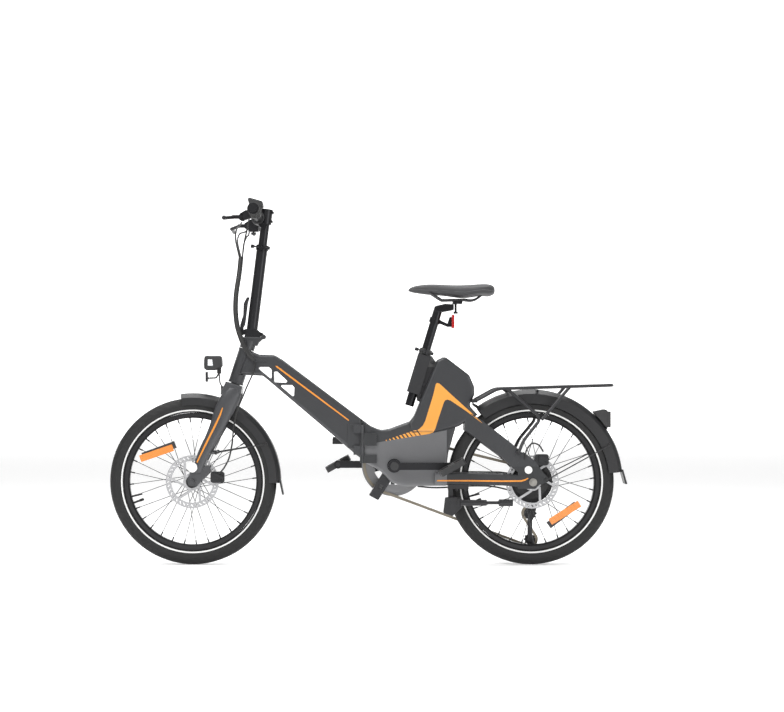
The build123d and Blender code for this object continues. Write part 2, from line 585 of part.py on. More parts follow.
def chain():
    """Endless chain in one plane, grooved on both edges for the teeth."""
    ring = (*BB, pitch_radius(CHAINRING_TEETH))
    cog = (REAR_AXLE_X, AXLE_Z, pitch_radius(DRIVEN_COG_TEETH))
    pulleys = [(REAR_AXLE_X + dx, AXLE_Z + dz, pitch_radius(t))
               for (dx, dz), t in zip(PULLEY_OFFSETS, (GUIDE_PULLEY_TEETH, TENSION_PULLEY_TEETH))]
    stops = [(ring, 1), (cog, 1), (pulleys[0], -1), (pulleys[1], 1), (ring, 1)]
    runs = [tangent(a, b, s, t) for (a, s), (b, t) in zip(stops, stops[1:])]
    edges = []
    for i, (start, end) in enumerate(runs):
        edges.append(Line(start, end))
        (cx, cz, r), side = stops[i + 1]
        onward = runs[(i + 1) % len(runs)][0]
        a0 = math.atan2(end[1] - cz, end[0] - cx)
        a1 = math.atan2(onward[1] - cz, onward[0] - cx)
        span = (a0 - a1) % (2 * math.pi) if side > 0 else -((a1 - a0) % (2 * math.pi))
        middle = a0 - span / 2
        edges.append(ThreePointArc(end, (cx + r * math.cos(middle), cz + r * math.sin(middle)), onward))
    loop = Wire([e for edge in edges for e in edge.edges()])
    band = chain_band(loop, -CHAIN_HALF_HEIGHT, CHAIN_HALF_HEIGHT, CHAIN_HALF_WIDTH)
    for low, high in ((-CHAIN_HALF_HEIGHT - 1, -0.9), (0.9, CHAIN_HALF_HEIGHT + 1)):
        band -= chain_band(loop, low, high, 1.4)
    return band


def chain_band(loop, low, high, half_width):
    """Strip that follows the chain's pitch line between two offsets from it."""
    outer, inner = [offset(make_face(loop.edges()), amount, kind=Kind.ARC) for amount in (high, low)]
    return extrude(SIDE.offset(-CHAIN_Y - half_width) * (outer - inner), amount=2 * half_width)


def pulley(index):
    dx, dz = PULLEY_OFFSETS[index]
    teeth = (GUIDE_PULLEY_TEETH, TENSION_PULLEY_TEETH)[index]
    body = sprocket(REAR_AXLE_X + dx, AXLE_Z + dz, teeth, CHAIN_Y, 2.2)
    return body - cross_rod(REAR_AXLE_X + dx, AXLE_Z + dz, 4 + RUNNING_CLEARANCE, 0, 90)


def derailleur_cage():
    """Two plates that carry the pulleys on their bolts, and the pivot on the link side."""
    (ax, az), (bx, bz) = [(REAR_AXLE_X + dx, AXLE_Z + dz) for dx, dz in PULLEY_OFFSETS]
    solid = None
    for y in (CHAIN_Y - 6.5, CHAIN_Y + 4.5):
        side = plate([(ax - 7, az), (bx - 7, bz), (bx + 7, bz), (ax + 7, az)], y, y + 2)
        side += cross_rod(ax, az, 10, y, y + 2) + cross_rod(bx, bz, 9, y, y + 2)
        solid = side if solid is None else solid + side
    for x, z in ((ax, az), (bx, bz)):
        solid += cross_rod(x, z, 4, CHAIN_Y - 7, CHAIN_Y + 7)
    return solid + cross_rod(ax + 2, az + 3, 6, CHAIN_Y + 6, CHAIN_Y + 9.5)


def derailleur_link():
    """Moving knuckle that hangs from the fixed knuckle and carries the cage."""
    x, z = REAR_AXLE_X, AXLE_Z
    (dx, dz) = PULLEY_OFFSETS[0]
    knuckle_body = plate([(x + dx - 10, z + dz - 6, 5), (x + dx - 8, z + dz + 14, 5), (x + 14, z - 60, 5), (x + 30, z - 60, 5),
                          (x + dx + 17, z + dz - 4, 5)], CHAIN_Y + 10, CHAIN_Y + 22, 2)
    return knuckle_body


def derailleur_mount():
    """Hanger bolt and fixed knuckle below the right dropout."""
    x, z, y = REAR_AXLE_X, AXLE_Z, REAR_DROPOUT_Y
    hanger = plate([(x - 4, z - 16), (x + 16, z - 10), (x + 26, z - 34, 6), (x + 10, z - 40, 6)],
                   y + DROPOUT_THICKNESS + 0.02, y + DROPOUT_THICKNESS + 5)
    fixed = plate([(x + 6, z - 30, 6), (x + 30, z - 26, 6), (x + 34, z - 58, 6), (x + 12, z - 58, 6)],
                  CHAIN_Y + 10, y + DROPOUT_THICKNESS + 3, 2)
    return hanger + fixed


def rear_axle():
    x, z = REAR_AXLE_X, AXLE_Z
    outer = REAR_DROPOUT_Y + DROPOUT_THICKNESS
    axle = cross_rod(x, z, AXLE_R + 1, -outer - 14, outer + 14)
    nuts = both_sides(cross_rod(x, z, 10, outer, outer + 8) + cross_rod(x, z, 12, outer, outer + 2))
    return axle + nuts


# ---- what hangs on the rear half ----------------------------------------------------------------
def arch(outer_r, skirt_r):
    """Mudguard section: crown and two skirts, one sheet thick."""
    t, w = GUARD_THICKNESS, GUARD_HALF
    return [(-w, skirt_r), (-w, outer_r - 14), (-w + 12, outer_r - 1.5, 14), (0, outer_r), (w - 12, outer_r - 1.5, 14),
            (w, outer_r - 14), (w, skirt_r), (w - t, skirt_r), (w - t, outer_r - 14.6), (w - 12.6, outer_r - 1.5 - t, 12),
            (0, outer_r - t), (-w + 12.6, outer_r - 1.5 - t, 12), (-w + t, outer_r - 14.6), (-w + t, skirt_r)]


def guard_stays(x, clip_angle, radius, foot):
    """Wire stay on both sides, from an eye on the dropout to a clip on the guard."""
    a, b = wheel_angle(clip_angle)
    clip = (x + radius * a, GUARD_HALF + 3, AXLE_Z + radius * b)
    wire = rod(foot, clip, 1.8) + rod((clip[0], GUARD_HALF, clip[2]), (clip[0], GUARD_HALF + 6, clip[2]), 5)
    wire += rod((foot[0], foot[1] - 4, foot[2]), (foot[0], foot[1] + 3, foot[2]), 5)
    return [wire.solid(), mirror(wire, Plane.XZ).solid()]


def rear_mudguard():
    body = turned_part(arch(REAR_GUARD_R, REAR_SKIRT_R), REAR_AXLE_X, AXLE_Z, -36.5, 120.5)
    flap = plate([(REAR_AXLE_X + 272.5, AXLE_Z + 36), (REAR_AXLE_X + 278.5, AXLE_Z + 36),
                  (REAR_AXLE_X + 291, AXLE_Z - 8), (REAR_AXLE_X + 285, AXLE_Z - 8)], -24, 24)
    outer = REAR_DROPOUT_Y + DROPOUT_THICKNESS
    stays = guard_stays(REAR_AXLE_X, 25, 262, (REAR_AXLE_X + 40, outer + 4, AXLE_Z + 7))
    bridge = plate([(316, 492), (330, 484), (342, 474), (338, 468), (316, 484)], -12, 12)
    return Compound([(body + flap + bridge - FRAME).solids().sort_by(SortBy.VOLUME)[-1]] + stays)


def front_mudguard():
    body = turned_part(arch(FRONT_GUARD_R, FRONT_SKIRT_R), FRONT_AXLE_X, AXLE_Z, -8, 99)
    flap = plate([(FRONT_AXLE_X + 262, AXLE_Z + 2), (FRONT_AXLE_X + 267.5, AXLE_Z + 2),
                  (FRONT_AXLE_X + 276, AXLE_Z - 40), (FRONT_AXLE_X + 271, AXLE_Z - 40)], -26, 26)
    stays = guard_stays(FRONT_AXLE_X, 27, 250, (FRONT_AXLE_X + 72, 54.6, AXLE_Z + 88))
    body += block((-440, -424), (-8, 8), (497, 513)) - CROWN  # lug under the fork crown
    return Compound([(body + flap).solids().sort_by(SortBy.VOLUME)[-1]] + stays)


def rear_rack():
    """Tubular carrier: two rails joined behind, two bent struts a side, cross tubes and feet."""
    rx, az, w, r = REAR_AXLE_X, AXLE_Z, RACK_HALF, RACK_R
    rail = bent_tube([(326, -w, 500), (388, -w, 534), (rx + 242, -w, 544.5), (rx + 242, w, 544.5), (388, w, 534),
                      (326, w, 500)], r, [60, 26, 26, 60])
    solid = rail
    foot = (rx - 45, az + 88)
    foot_y = -81
    strut = bent_tube([(rx - 80, -w, 536), (rx + 26, -w, 446), (foot[0] + 17, -w - 8, foot[1] + 38),
                       (foot[0], foot_y, foot[1])], r, [20, 60])
    strut += rod((rx + 113, -w, 541), (rx + 26, -w, 440), r)
    strut += rod((foot[0], foot_y + 5, foot[1]), (foot[0], foot_y - 4, foot[1]), 7)
    solid += both_sides(strut)
    for x in (420, rx + 20, rx + 150):
        z = 534 + (x - 388) * 10.5 / (rx + 242 - 388)
        solid += rod((x, -w, z), (x, w, z), 4)
    tab = block((311, 327), (-w - 3, -34), (492, 503)) - block((300, 321), (-41, -30), (480, 520))
    return (solid + both_sides(tab))


def tail_lamp():
    x, z = REAR_AXLE_X, AXLE_Z
    body = plate([(x + 190, z + 212), (x + 223, z + 219, 4), (x + 231, z + 215, 3), (x + 231, z + 153, 3),
                  (x + 224, z + 153)], -23, 23)
    body -= cross_rod(x, z, REAR_GUARD_R + 0.3, -40, 40)
    lens = block((x + 231.05, x + 241), (-21, 21), (z + 164, z + 212))
    return Compound([body.solids().sort_by(SortBy.VOLUME)[-1], lens.solid()])


def caliper(x, z, y, reach):
    """Disc caliper that straddles the rotor's rim, with its cable arm and bolts."""
    body = Box(42, 20.6, 34)
    body = fillet(body.edges().filter_by(Axis.Y), 8)
    body = Pos(x, y - 3.6, z) * body
    body -= cross_rod(REAR_AXLE_X if x > 0 else FRONT_AXLE_X, AXLE_Z, ROTOR_R + 1.5, y - 1.6, y + 1.6)
    arm = Pos(x + reach, y - 20, z + 4) * Rot(0, 25, 0) * Box(30, 5, 9)
    return body + arm + cross_rod(x, z, 9, y - 20, y - 12)


def rear_brake_caliper():
    return caliper(REAR_AXLE_X + 27, AXLE_Z + 67, REAR_ROTOR_Y + 0.0, 6)


def underframe_brackets():
    """Fold-rest plate under the bottom bracket and the kickstand's bracket under the left chainstay."""
    rest = plate([(42, 277), (66, 252), (29, 196, 3), (1, 211, 3)], -20, 20)
    rest -= plate([(46, 240, 3), (40, 228, 3), (30, 233, 3), (36, 245, 3)], -30, 30)
    rest -= FRAME
    x, y, z = KICKSTAND_PIVOT
    bracket = block((x - 7, x + 55), (y + 2, y + 21), (z + 36, z + 50))
    bracket += block((x - 6, x + 8), (y + 8, y + 21), (z - 14, z + 45))
    bracket += rod((x, y + 9, z), (x, y - 11, z), 5)
    bolts = [rod((x + dx, y + 12, z + 30), (x + dx, y + 12, z + 35.9), 4).solid() for dx in (20, 45)]
    return Compound([rest.solids().sort_by(SortBy.VOLUME)[-1], (bracket - FRAME).solids().sort_by(SortBy.VOLUME)[-1]] + bolts)


def kickstand_leg():
    """Leg folded up along the chainstay: housing on the pivot, rod and rubber foot."""
    x, y, z = KICKSTAND_PIVOT
    housing = plate([(x - 16, z + 12, 4), (x + 12, z + 13, 4), (x + 34, z + 9, 4), (x + 34, z - 18, 4), (x + 6, z - 45, 5),
                     (x - 22, z - 35, 5)], y - 11, y + 7, 2)
    housing -= rod((x, y + 20, z), (x, y - 30, z), 5 + RUNNING_CLEARANCE)
    leg_y, leg_z = y - 13, z - 4
    leg = rod((x + 30, leg_y, leg_z), (x + 108, leg_y, leg_z), 9)
    leg += block((x + 20, x + 34), (y - 14, y), (z - 16, z + 6))
    leg += rod((x + 100, leg_y, leg_z), (x + 150, leg_y, leg_z), 4.8)
    foot = rod((x + 145, leg_y, leg_z), (x + 187, leg_y, leg_z), 10.5)
    return housing + leg + foot


# ---- front frame half ---------------------------------------------------------------------------
def front_frame():
    """Monotube with three windows behind the head tube, hinge plate, knuckles and the headset cups."""
    x0 = HINGE_X - PARTING_GAP / 2
    tube = plate([(-385, 600), (-362, 651, 8), (-332, 638, 10), (-286, 637, 30), (-262, 623, 30), (x0, 441), (x0, 320.5),
                  (-36, 332, 12), (-320, 573, 16), (-392, 576)], -FRONT_TUBE_HALF, FRONT_TUBE_HALF, 9)
    for window in ([(-340, 600, 4), (-303, 600, 6), (-294, 592, 4), (-294, 562, 3)],
                   [(-287, 586, 3), (-277, 586, 3), (-245, 556, 3), (-251, 552, 3), (-286, 554, 3)],
                   [(-271, 545, 3), (-232, 545, 4), (-225, 538, 4), (-226, 507, 4)]):
        tube -= plate(window, -60, 60)
    tube -= plate([(-206, 574), (-34, 443), (-34, 344), (-212, 494)], -FRONT_TUBE_HALF + 4, FRONT_TUBE_HALF - 4)
    tube += block((-64, x0), (-FRONT_TUBE_HALF - 3, FRONT_TUBE_HALF + 3), (355, 425))
    tube += knuckle(1, -46) + knuckle(3, -46)
    tube -= block((-66, x0 + 1), (14, 40), (300, 332))  # relief that clears a pedal as the frame folds
    tube += block((-48, x0 - 3), (31, LATCH_Y - 1.4), (352, 398))  # catch under the frame latch
    low, high = along(HEAD_BASE, HEAD_UP, 1 + CUP_HEIGHT), along(HEAD_BASE, HEAD_UP, 1 + CUP_HEIGHT + HEAD_TUBE_LENGTH)
    tube += rod(low, high, HEAD_TUBE_R)
    tube -= rod(low - HEAD_UP * 60, high + HEAD_UP * 60, HEAD_TUBE_R - 5)
    tube -= rod(low - HEAD_UP * 60, low, 60)
    tube -= rod(high, high + HEAD_UP * 60, 34)
    cups = []
    for base, way in ((low, -1), (high, 1)):
        cup = rod(base, base + HEAD_UP * way * CUP_HEIGHT, HEAD_TUBE_R + 1)
        cup -= rod(low - HEAD_UP * 60, high + HEAD_UP * 60, STEERER_R + RUNNING_CLEARANCE)
        cups.append(cup.solid())
    port = plate([(-352, 627, 3), (-310, 622, 4), (-308, 614, 4), (-352, 616, 3)], -FRONT_TUBE_HALF - 2, -FRONT_TUBE_HALF)
    return Compound([tube.solids().sort_by(SortBy.VOLUME)[-1]] + cups + [port.solid()])


def frame_latch_lever():
    """Over-centre lever on the right side that holds the frame halves shut."""
    hub = rod((LATCH_X, LATCH_Y, 360.4), (LATCH_X, LATCH_Y, 397.6), 6)
    arm = block((LATCH_X - 101, LATCH_X), (LATCH_Y - 1, LATCH_Y + 5), (364, 386))
    return hub + arm - rod((LATCH_X, LATCH_Y, 340), (LATCH_X, LATCH_Y, 410), 3 + RUNNING_CLEARANCE)


# ---- fork and what it carries -------------------------------------------------------------------
def fork():
    steerer = rod(along(HEAD_BASE, HEAD_UP, -6), along(HEAD_BASE, HEAD_UP, 138), STEERER_R)
    x, az, drop = FRONT_AXLE_X, AXLE_Z, FRONT_DROPOUT_Y
    crown = plate([(-431, 556), (-381, 540), (-386, 520), (-398, 512), (-436, 512), (-448, 518)], -56, 56, 4)
    crown -= rod(along(HEAD_BASE, HEAD_UP, 0.4), along(HEAD_BASE, HEAD_UP, 40), 80)
    sections = []
    for px, pz, half_x, y, half_y in ((-408, 536, 24, 47, 10), (-419, 506, 31, 47.5, 12.5), (-436, 466, 31, 48, 12),
                                      (-453, 427, 26, 49.5, 11), (-482, 369, 21, 53, 9.5), (-506, 317, 17, 55.5, 7.5),
                                      (x + 14, az + 28, 15, 56, 6)):
        sections.append(Plane(origin=(px, y, pz)) * Ellipse(half_x, half_y))
    blade = loft(sections)
    tip = plate([(x + 30, az + 44), (x + 2, az + 44), (x - 14, az + 6, 8), (x - 10, az - 12, 8), (x + 14, az - 14, 8),
                 (x + 30, az + 4, 6), (x + 58, az + 34, 6), (x + 54, az + 50, 6)], drop, drop + DROPOUT_THICKNESS)
    boss = rod((x + 36, drop - 6, az + 88), (x + 72, drop - 6, az + 88), 4.5)
    boss += cross_rod(x + 72, az + 88, 6, drop - 9, drop - 0.9)
    leg = blade + tip + boss
    leg -= cross_rod(x, az, AXLE_R, drop - 5, drop + 20)
    leg -= rod((x, drop - 12, az), (x, drop, az), 20)
    legs = both_sides(leg)
    body = crown + legs + steerer
    axle = cross_rod(x, az, AXLE_R, -drop - 18, drop + 18) + both_sides(cross_rod(x, az, 9, drop + 7, drop + 15))
    return Compound([body.solids().sort_by(SortBy.VOLUME)[-1], axle.solid()])


def handlepost_base():
    """Collar on the steerer, lower hinge block, two pin ears and the pin."""
    low, high = along(HEAD_BASE, HEAD_UP, 2 + 2 * CUP_HEIGHT + HEAD_TUBE_LENGTH), along(HEAD_BASE, HEAD_UP, 139)
    body = rod(low, high, HEAD_TUBE_R)
    body += plate([(-388, 668), (-338, 664), (-329, 680), (-329, 691), (-386, 691), (-392, 684)], -19, 19, 2)
    for y in ((-19, -9.6), (9.6, 19)):
        ear = cross_rod(*STEM_PIN, STEM_KNUCKLE_R, *y) + plate([(-331, 676), (-322, 685), (-318, 690), (-331, 690.9)], *y)
        body += ear
    body -= rod(low - HEAD_UP * 60, high, STEERER_R)
    body -= cross_rod(*STEM_PIN, STEM_KNUCKLE_R + 0.5, -9.5, 9.5)
    body -= cross_rod(*STEM_PIN, STEM_PIN_R, -30, 30)
    pin = cross_rod(*STEM_PIN, STEM_PIN_R, -20, 20)
    return Compound([body.solids().sort_by(SortBy.VOLUME)[-1], pin.solid()])


def post_frame(distance):
    return Plane(origin=along(POST_FOOT, POST_UP, distance), x_dir=(0, 1, 0), z_dir=POST_UP)


def handlepost():
    """Outer tube of the folding handlepost with its hinge flange, knuckle and height collar."""
    top = POST_COLLAR_UP - 4
    tube = rod(along(POST_FOOT, POST_UP, 4), along(POST_FOOT, POST_UP, top), POST_OUTER_R)
    z = POST_FOOT[2]
    tube += plate([(-377, z + 0.2), (-329, z + 0.2), (-331, z + 16), (-340, z + 24), (-371, z + 24)], -18, 18)
    arm = plate([(-331, z + 0.4), (-318, z + 6), (-322, z + 12), (-331, z + 15)], -9.2, 9.2)
    tube += cross_rod(*STEM_PIN, STEM_KNUCKLE_R, -9.2, 9.2) + arm
    tube -= cross_rod(*STEM_PIN, STEM_PIN_R + RUNNING_CLEARANCE, -30, 30)
    tube -= rod(along(POST_FOOT, POST_UP, 30), along(POST_FOOT, POST_UP, 400), POST_INNER_R + RUNNING_CLEARANCE)
    for y in ((-13, -8), (8, 13)):
        tube += plate([(-372, 716), (-372, 700), (-392, 696, 3), (-392, 708, 3)], *y)
    tube -= cross_rod(*LATCH_PIVOT, 3 + RUNNING_CLEARANCE, -20, 20)
    ring, bolt = clamp_ring(post_frame(POST_COLLAR_UP - 4 + 9), POST_INNER_R, 16)
    return Compound([tube.solids().sort_by(SortBy.VOLUME)[-1], ring.solid(), bolt.solid()])


LATCH_PIVOT = (-385.0, 702.5)


def stem_latch_lever():
    """Lever that lies along the front of the handlepost and locks its hinge."""
    x, z = LATCH_PIVOT
    lever = plate([(x - 6, z - 3), (x - 5, z + 26), (x + 4, z + 56, 12), (x + 5, z + 90, 10), (x + 17, z + 114, 6),
                   (x + 23, z + 108), (x + 18, z + 90), (x + 14, z + 56), (x + 10, z + 26), (x + 5, z + 18), (x + 5, z - 3)],
                  -7.6, 7.6, 1.5)
    return lever + cross_rod(x, z, 2.9, -12.9, 12.9) + cross_rod(x, z, 6, -7.6, 7.6)


def inner_post():
    """Telescoping post with the bar clamp at its top and two clamp bolts behind."""
    foot = along(POST_FOOT, POST_UP, POST_COLLAR_UP - POST_INSERTION)
    top = along(POST_FOOT, POST_UP, POST_TOP_UP)
    post = rod(foot, top, POST_INNER_R)
    sleeve = rod(top - POST_UP * 46, top, POST_INNER_R + 5)
    gusset = plate([(BAR[0], BAR[1] - 20), (-316, 1012), (-302, 1040), (-302, 1070), (BAR[0], BAR[1] + 20)], -15, 15)
    solid = post + sleeve + gusset + cross_rod(*BAR, BAR_CENTRE_R + 4.5, -24, 24)
    solid -= cross_rod(*BAR, BAR_CENTRE_R, -30, 30)
    solid -= rod(foot - POST_UP * 5, top - POST_UP * 20, POST_INNER_R - 2.2)
    bolts = [cross_rod(-291 - dx, 1069 - dz, 3.6, -14, 14) for dx, dz in ((0, 0), (3.4, 27))]
    solids = [(solid - bolts[0] - bolts[1]).solids().sort_by(SortBy.VOLUME)[-1]]
    return Compound(solids + [b.solid() for b in bolts])


def handlebar():
    """Bar, thick at the clamp, with a rubber grip and end plug on each end."""
    half = BAR_HALF_LENGTH
    bar = turned([(-half, 0), (-half, BAR_R), (-62, BAR_R), (-34, BAR_CENTRE_R), (34, BAR_CENTRE_R), (62, BAR_R),
                  (half, BAR_R), (half, 0)], *BAR)
    bar -= cross_rod(*BAR, BAR_R - 2, -half - 1, half + 1)
    grip = collar(*BAR, GRIP_R, BAR_R, half - GRIP_LENGTH, half - 0.5)
    plug = cross_rod(*BAR, 11.5, half, half + 4)
    return Compound([bar.solid()] + [s.solid() for s in (grip, mirror(grip, Plane.XZ), plug, mirror(plug, Plane.XZ))])


LEVER_Y = 148.0
LEVER_PIVOT = (-372.0, 1044.0)


def lever_mounts():
    """Brake lever clamps on the bar, each with the body that holds its lever, and the shifter's pod."""
    solids = []
    for side in (-1, 1):
        y = sorted((side * (LEVER_Y - 9), side * (LEVER_Y + 9)))
        clamp = collar(*BAR, BAR_R + 5, BAR_R, *y)
        body = plate([(-344, 1062), (-344, 1040), (-378, 1030, 4), (-386, 1036, 4), (-386, 1050, 4), (-366, 1062)], *y)
        body -= cross_rod(*BAR, BAR_R, -200, 200)
        body -= block((-392, -360), (y[0] + 4, y[1] - 4), (1034, 1052))
        mouth = sorted((side * (LEVER_Y - 5), side * (LEVER_Y + 12)))
        body -= block((-392, -374), mouth, (1034, 1052))
        clamp += body + rod((LEVER_PIVOT[0], side * LEVER_Y, 1030), (LEVER_PIVOT[0], side * LEVER_Y, 1054), 2.9)
        solids.append(clamp.solid())
    pod = collar(*BAR, BAR_R + 5, BAR_R, 112, 126) + block((-372, -340), (110, 134), (1022, 1042))
    pod += rod((-356, 122, 1024), (-356, 122, 1012), 3)
    solids.append((pod - cross_rod(*BAR, BAR_R, 100, 140)).solid())
    return Compound(solids)


def brake_lever(side):
    x, z, y = LEVER_PIVOT[0], LEVER_PIVOT[1], LEVER_Y
    blade = rod((x, y, z - 7.6), (x, y, z + 5.6), 5)
    blade += block((x - 34, x), (y - 4, y + 4), (z - 7, z + 4))
    blade += rod((x - 30, y, z - 2), (x - 56, y + 34, z - 8), 5.5) + rod((x - 56, y + 34, z - 8), (x - 52, y + 92, z - 12), 5.5)
    blade += Pos(x - 56, y + 34, z - 8) * Sphere(5.5) + Pos(x - 52, y + 92, z - 12) * Sphere(6.5)
    blade -= rod((x, y, z - 30), (x, y, z + 30), 2.9 + RUNNING_CLEARANCE)
    return blade if side > 0 else mirror(blade, Plane.XZ)


def shifter_lever():
    lever = rod((-356, 122, 1019.6), (-356, 122, 1013), 8) + block((-360, -352), (124, 166), (1013, 1018))
    return lever - rod((-356, 122, 1000), (-356, 122, 1030), 3 + RUNNING_CLEARANCE)


def display():
    """Display housing on two clamp feet over the bar."""
    body = plate([(-367, 1113, 4), (-321, 1101, 4), (-320, 1087, 4), (-333, 1083.5, 4), (-363, 1094, 4)], -36, 36, 2)
    for y in (-36, 28):
        foot = collar(*BAR, 19.9, BAR_CENTRE_R, y, y + 8) + block((-346, -326), (y, y + 8), (1071, 1090))
        body += foot - cross_rod(*BAR, BAR_CENTRE_R, -60, 60)
    return body


def post_qr_lever():
    return qr_lever(post_frame(POST_COLLAR_UP + 5), POST_INNER_R, 44)


def seat_qr_lever():
    return qr_lever(seat_frame(SEAT_BLOCK_TOP + 10), SEATPOST_R, 44)


def front_brake_caliper():
    return caliper(FRONT_AXLE_X + 77, AXLE_Z + 14, FRONT_ROTOR_Y, 4)


def lamp_bracket():
    """Wire bracket from the crown to the headlamp, with the arm of the front reflector."""
    wire = bent_tube([(-444, 0, 536), (-452, 0, 552), (LAMP_PIVOT[0], 0, LAMP_PIVOT[1])], 2.2, [8])
    wire += cross_rod(*LAMP_PIVOT, 3.5, -9, 9)
    wire += block((-449, -436), (-7, 7), (524, 542)) - CROWN
    arm = bent_tube([(LAMP_PIVOT[0], 0, LAMP_PIVOT[1]), (-464, 0, 567), (-488, 0, 566)], 2.5, [6])
    lens = block((-495, -488), (-19, 19), (555, 585))
    return Compound([(wire + arm).solids().sort_by(SortBy.VOLUME)[-1], (lens - arm).solid()])


LAMP_PIVOT = (-454.5, 581.5)


def headlamp():
    """Lamp housing on two lugs over its pivot, with a front lens."""
    housing = plate([(-498, 634, 6), (-446, 634, 8), (-444, 600, 10), (-466, 590, 8), (-496, 590, 6)], -26, 26, 5)
    x, z = LAMP_PIVOT
    for y in (-8.6, 4.6):
        housing += plate([(x - 6, z - 2, 3), (x + 6, z - 2, 3), (x + 6, 606), (x - 6, 606)], y, y + 4)
    housing -= cross_rod(x, z, 3.5 + RUNNING_CLEARANCE, -30, 30)
    lens = rod((-499.5, 0, 612), (-498.05, 0, 612), 18)
    return Compound([housing.solid(), lens.solid()])


# ---- cables, each held at both ends -------------------------------------------------------------
BUNDLE_ROUTE = ((-388, -4, 934), (-391.5, -14, 888), (-402, -24, 820), (-403.5, -31, 768), (-397, -37, 716),
                (-379, -44, 668), (-362, -43, 637), (-346, -39.2, 620))


def bar_cables():
    """Spiral-wrapped bundle from the frame's port, with four loose cables that fan out to the bar."""
    bundle = cable(BUNDLE_ROUTE, 7.6)
    x, y, z = BUNDLE_ROUTE[0]
    solids = [bundle.solid()]
    fans = (((x - 5, y - 1, z + 0.5), (-405, -22, 990), (-398, -60, 1016), (-383, -118, 1021), (-379, -140, 1026)),
            ((x - 1, y + 5, z + 0.5), (-402, 24, 985), (-397, 62, 1012), (-384, 118, 1020), (-380, 140, 1026)),
            ((x + 4.5, y - 3, z + 0.5), (-377, -10, 985), (-366, -20, 1025), (-360, -24, 1062), (-352, -24, 1086)),
            ((x + 4.5, y + 3, z + 0.5), (-382, 40, 980), (-374, 80, 1005), (-371, 104, 1008), (-369, 112.6, 1019.5)))
    for route in fans:
        solids.append(cable(route, 2.4).solid())
    return Compound(solids)


def front_brake_cable():
    """Brake cable from the frame's port down behind the fork to the front caliper."""
    route = ((-344, -36.5, 612), (-349, -42, 580), (-364, -52, 548), (-378, -63, 512), (-396, -67, 470),
             (-407, -68, 420), (-410, -68, 370), (-420, -67, 322), (-438, -64, 291), (-452.5, -61.8, 277.6))
    return cable(route, 2.4)


def rear_cables():
    """Gear and motor cables under the body and chainstay, and the rear brake cable to its caliper."""
    rx = REAR_AXLE_X
    low = cable(((150, 12, 236.4), (200, 22, 231), (260, 36, 233), (320, 55, 236), (rx - 110, 68, 234),
                 (rx - 60, 80, 222), (rx - 10, 84, 205)), 2.4)
    brake = cable(((rx - 25, -77.5, 322), (rx - 22, -80, 350), (rx - 4, -82, 373), (rx + 18, -81, 366), (rx + 30, -77, 345)), 2.4)
    return Compound([low.solid(), brake.solid()])


FRAME = rear_frame()
MAST = FRAME
CROWN = fork()

NODES = {
    "rear_frame": lambda: FRAME, "seat_tube_block": seat_tube_block, "bottom_bracket": bottom_bracket,
    "motor_controller": motor_controller, "rear_mudguard": rear_mudguard, "rear_rack": rear_rack,
    "tail_lamp": tail_lamp, "rear_brake_caliper": rear_brake_caliper, "rear_cables": rear_cables,
    "underframe_brackets": underframe_brackets, "rear_axle": rear_axle, "derailleur_mount": derailleur_mount,
    "chain": chain, "front_frame": front_frame, "fork": lambda: CROWN, "handlepost_base": handlepost_base,
    "front_mudguard": front_mudguard, "front_brake_caliper": front_brake_caliper, "lamp_bracket": lamp_bracket,
    "front_brake_cable": front_brake_cable, "headlamp": headlamp,
    "front_tyre": lambda: tyre(FRONT_AXLE_X), "front_rim": lambda: rim(FRONT_AXLE_X),
    "front_spokes": lambda: Compound(
        [*spokes(FRONT_AXLE_X, FRONT_FLANGE_R, 30, 55).solids(), wheel_reflector(FRONT_AXLE_X, 137.4, 20).solid()]),
    "front_hub": front_hub, "front_rotor": lambda: rotor(FRONT_AXLE_X, FRONT_ROTOR_Y),
    "rear_tyre": lambda: tyre(REAR_AXLE_X), "rear_rim": lambda: rim(REAR_AXLE_X),
    "rear_spokes": lambda: Compound(
        [*spokes(REAR_AXLE_X, MOTOR_R - 1, MOTOR_HALF_WIDTH - 0.6, 20).solids(),
         wheel_reflector(REAR_AXLE_X, -47, 37).solid()]),
    "rear_hub_motor": rear_hub_motor, "rear_rotor": lambda: rotor(REAR_AXLE_X, REAR_ROTOR_Y),
    "cassette": cassette, "crank_spindle": crank_spindle, "crank_arms": crank_arms, "chainring": chainring,
    "pedal_left": lambda: pedal(-1), "pedal_right": lambda: pedal(1), "handlepost": handlepost,
    "inner_post": inner_post, "handlebar": handlebar, "lever_mounts": lever_mounts, "display": display,
    "brake_lever_left": lambda: brake_lever(-1), "brake_lever_right": lambda: brake_lever(1),
    "shifter_lever": shifter_lever, "bar_cables": bar_cables, "stem_latch_lever": stem_latch_lever,
    "post_qr_lever": post_qr_lever, "seatpost": seatpost, "saddle_rails": saddle_rails, "saddle": saddle,
    "seat_qr_lever": seat_qr_lever, "battery_pack": battery_pack, "battery_lock": battery_lock,
    "kickstand_leg": kickstand_leg, "derailleur_link": derailleur_link, "derailleur_cage": derailleur_cage,
    "guide_pulley": lambda: pulley(0), "tension_pulley": lambda: pulley(1), "frame_latch_lever": frame_latch_lever,
}

os.makedirs("parts", exist_ok=True)
for name, make in NODES.items():
    export_step(make(), f"parts/{name}.step")
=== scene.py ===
"""Looks of the folding bicycle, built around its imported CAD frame."""

import math

import bmesh
import bpy
from mathutils import Matrix, Vector
from mathutils.bvhtree import BVHTree


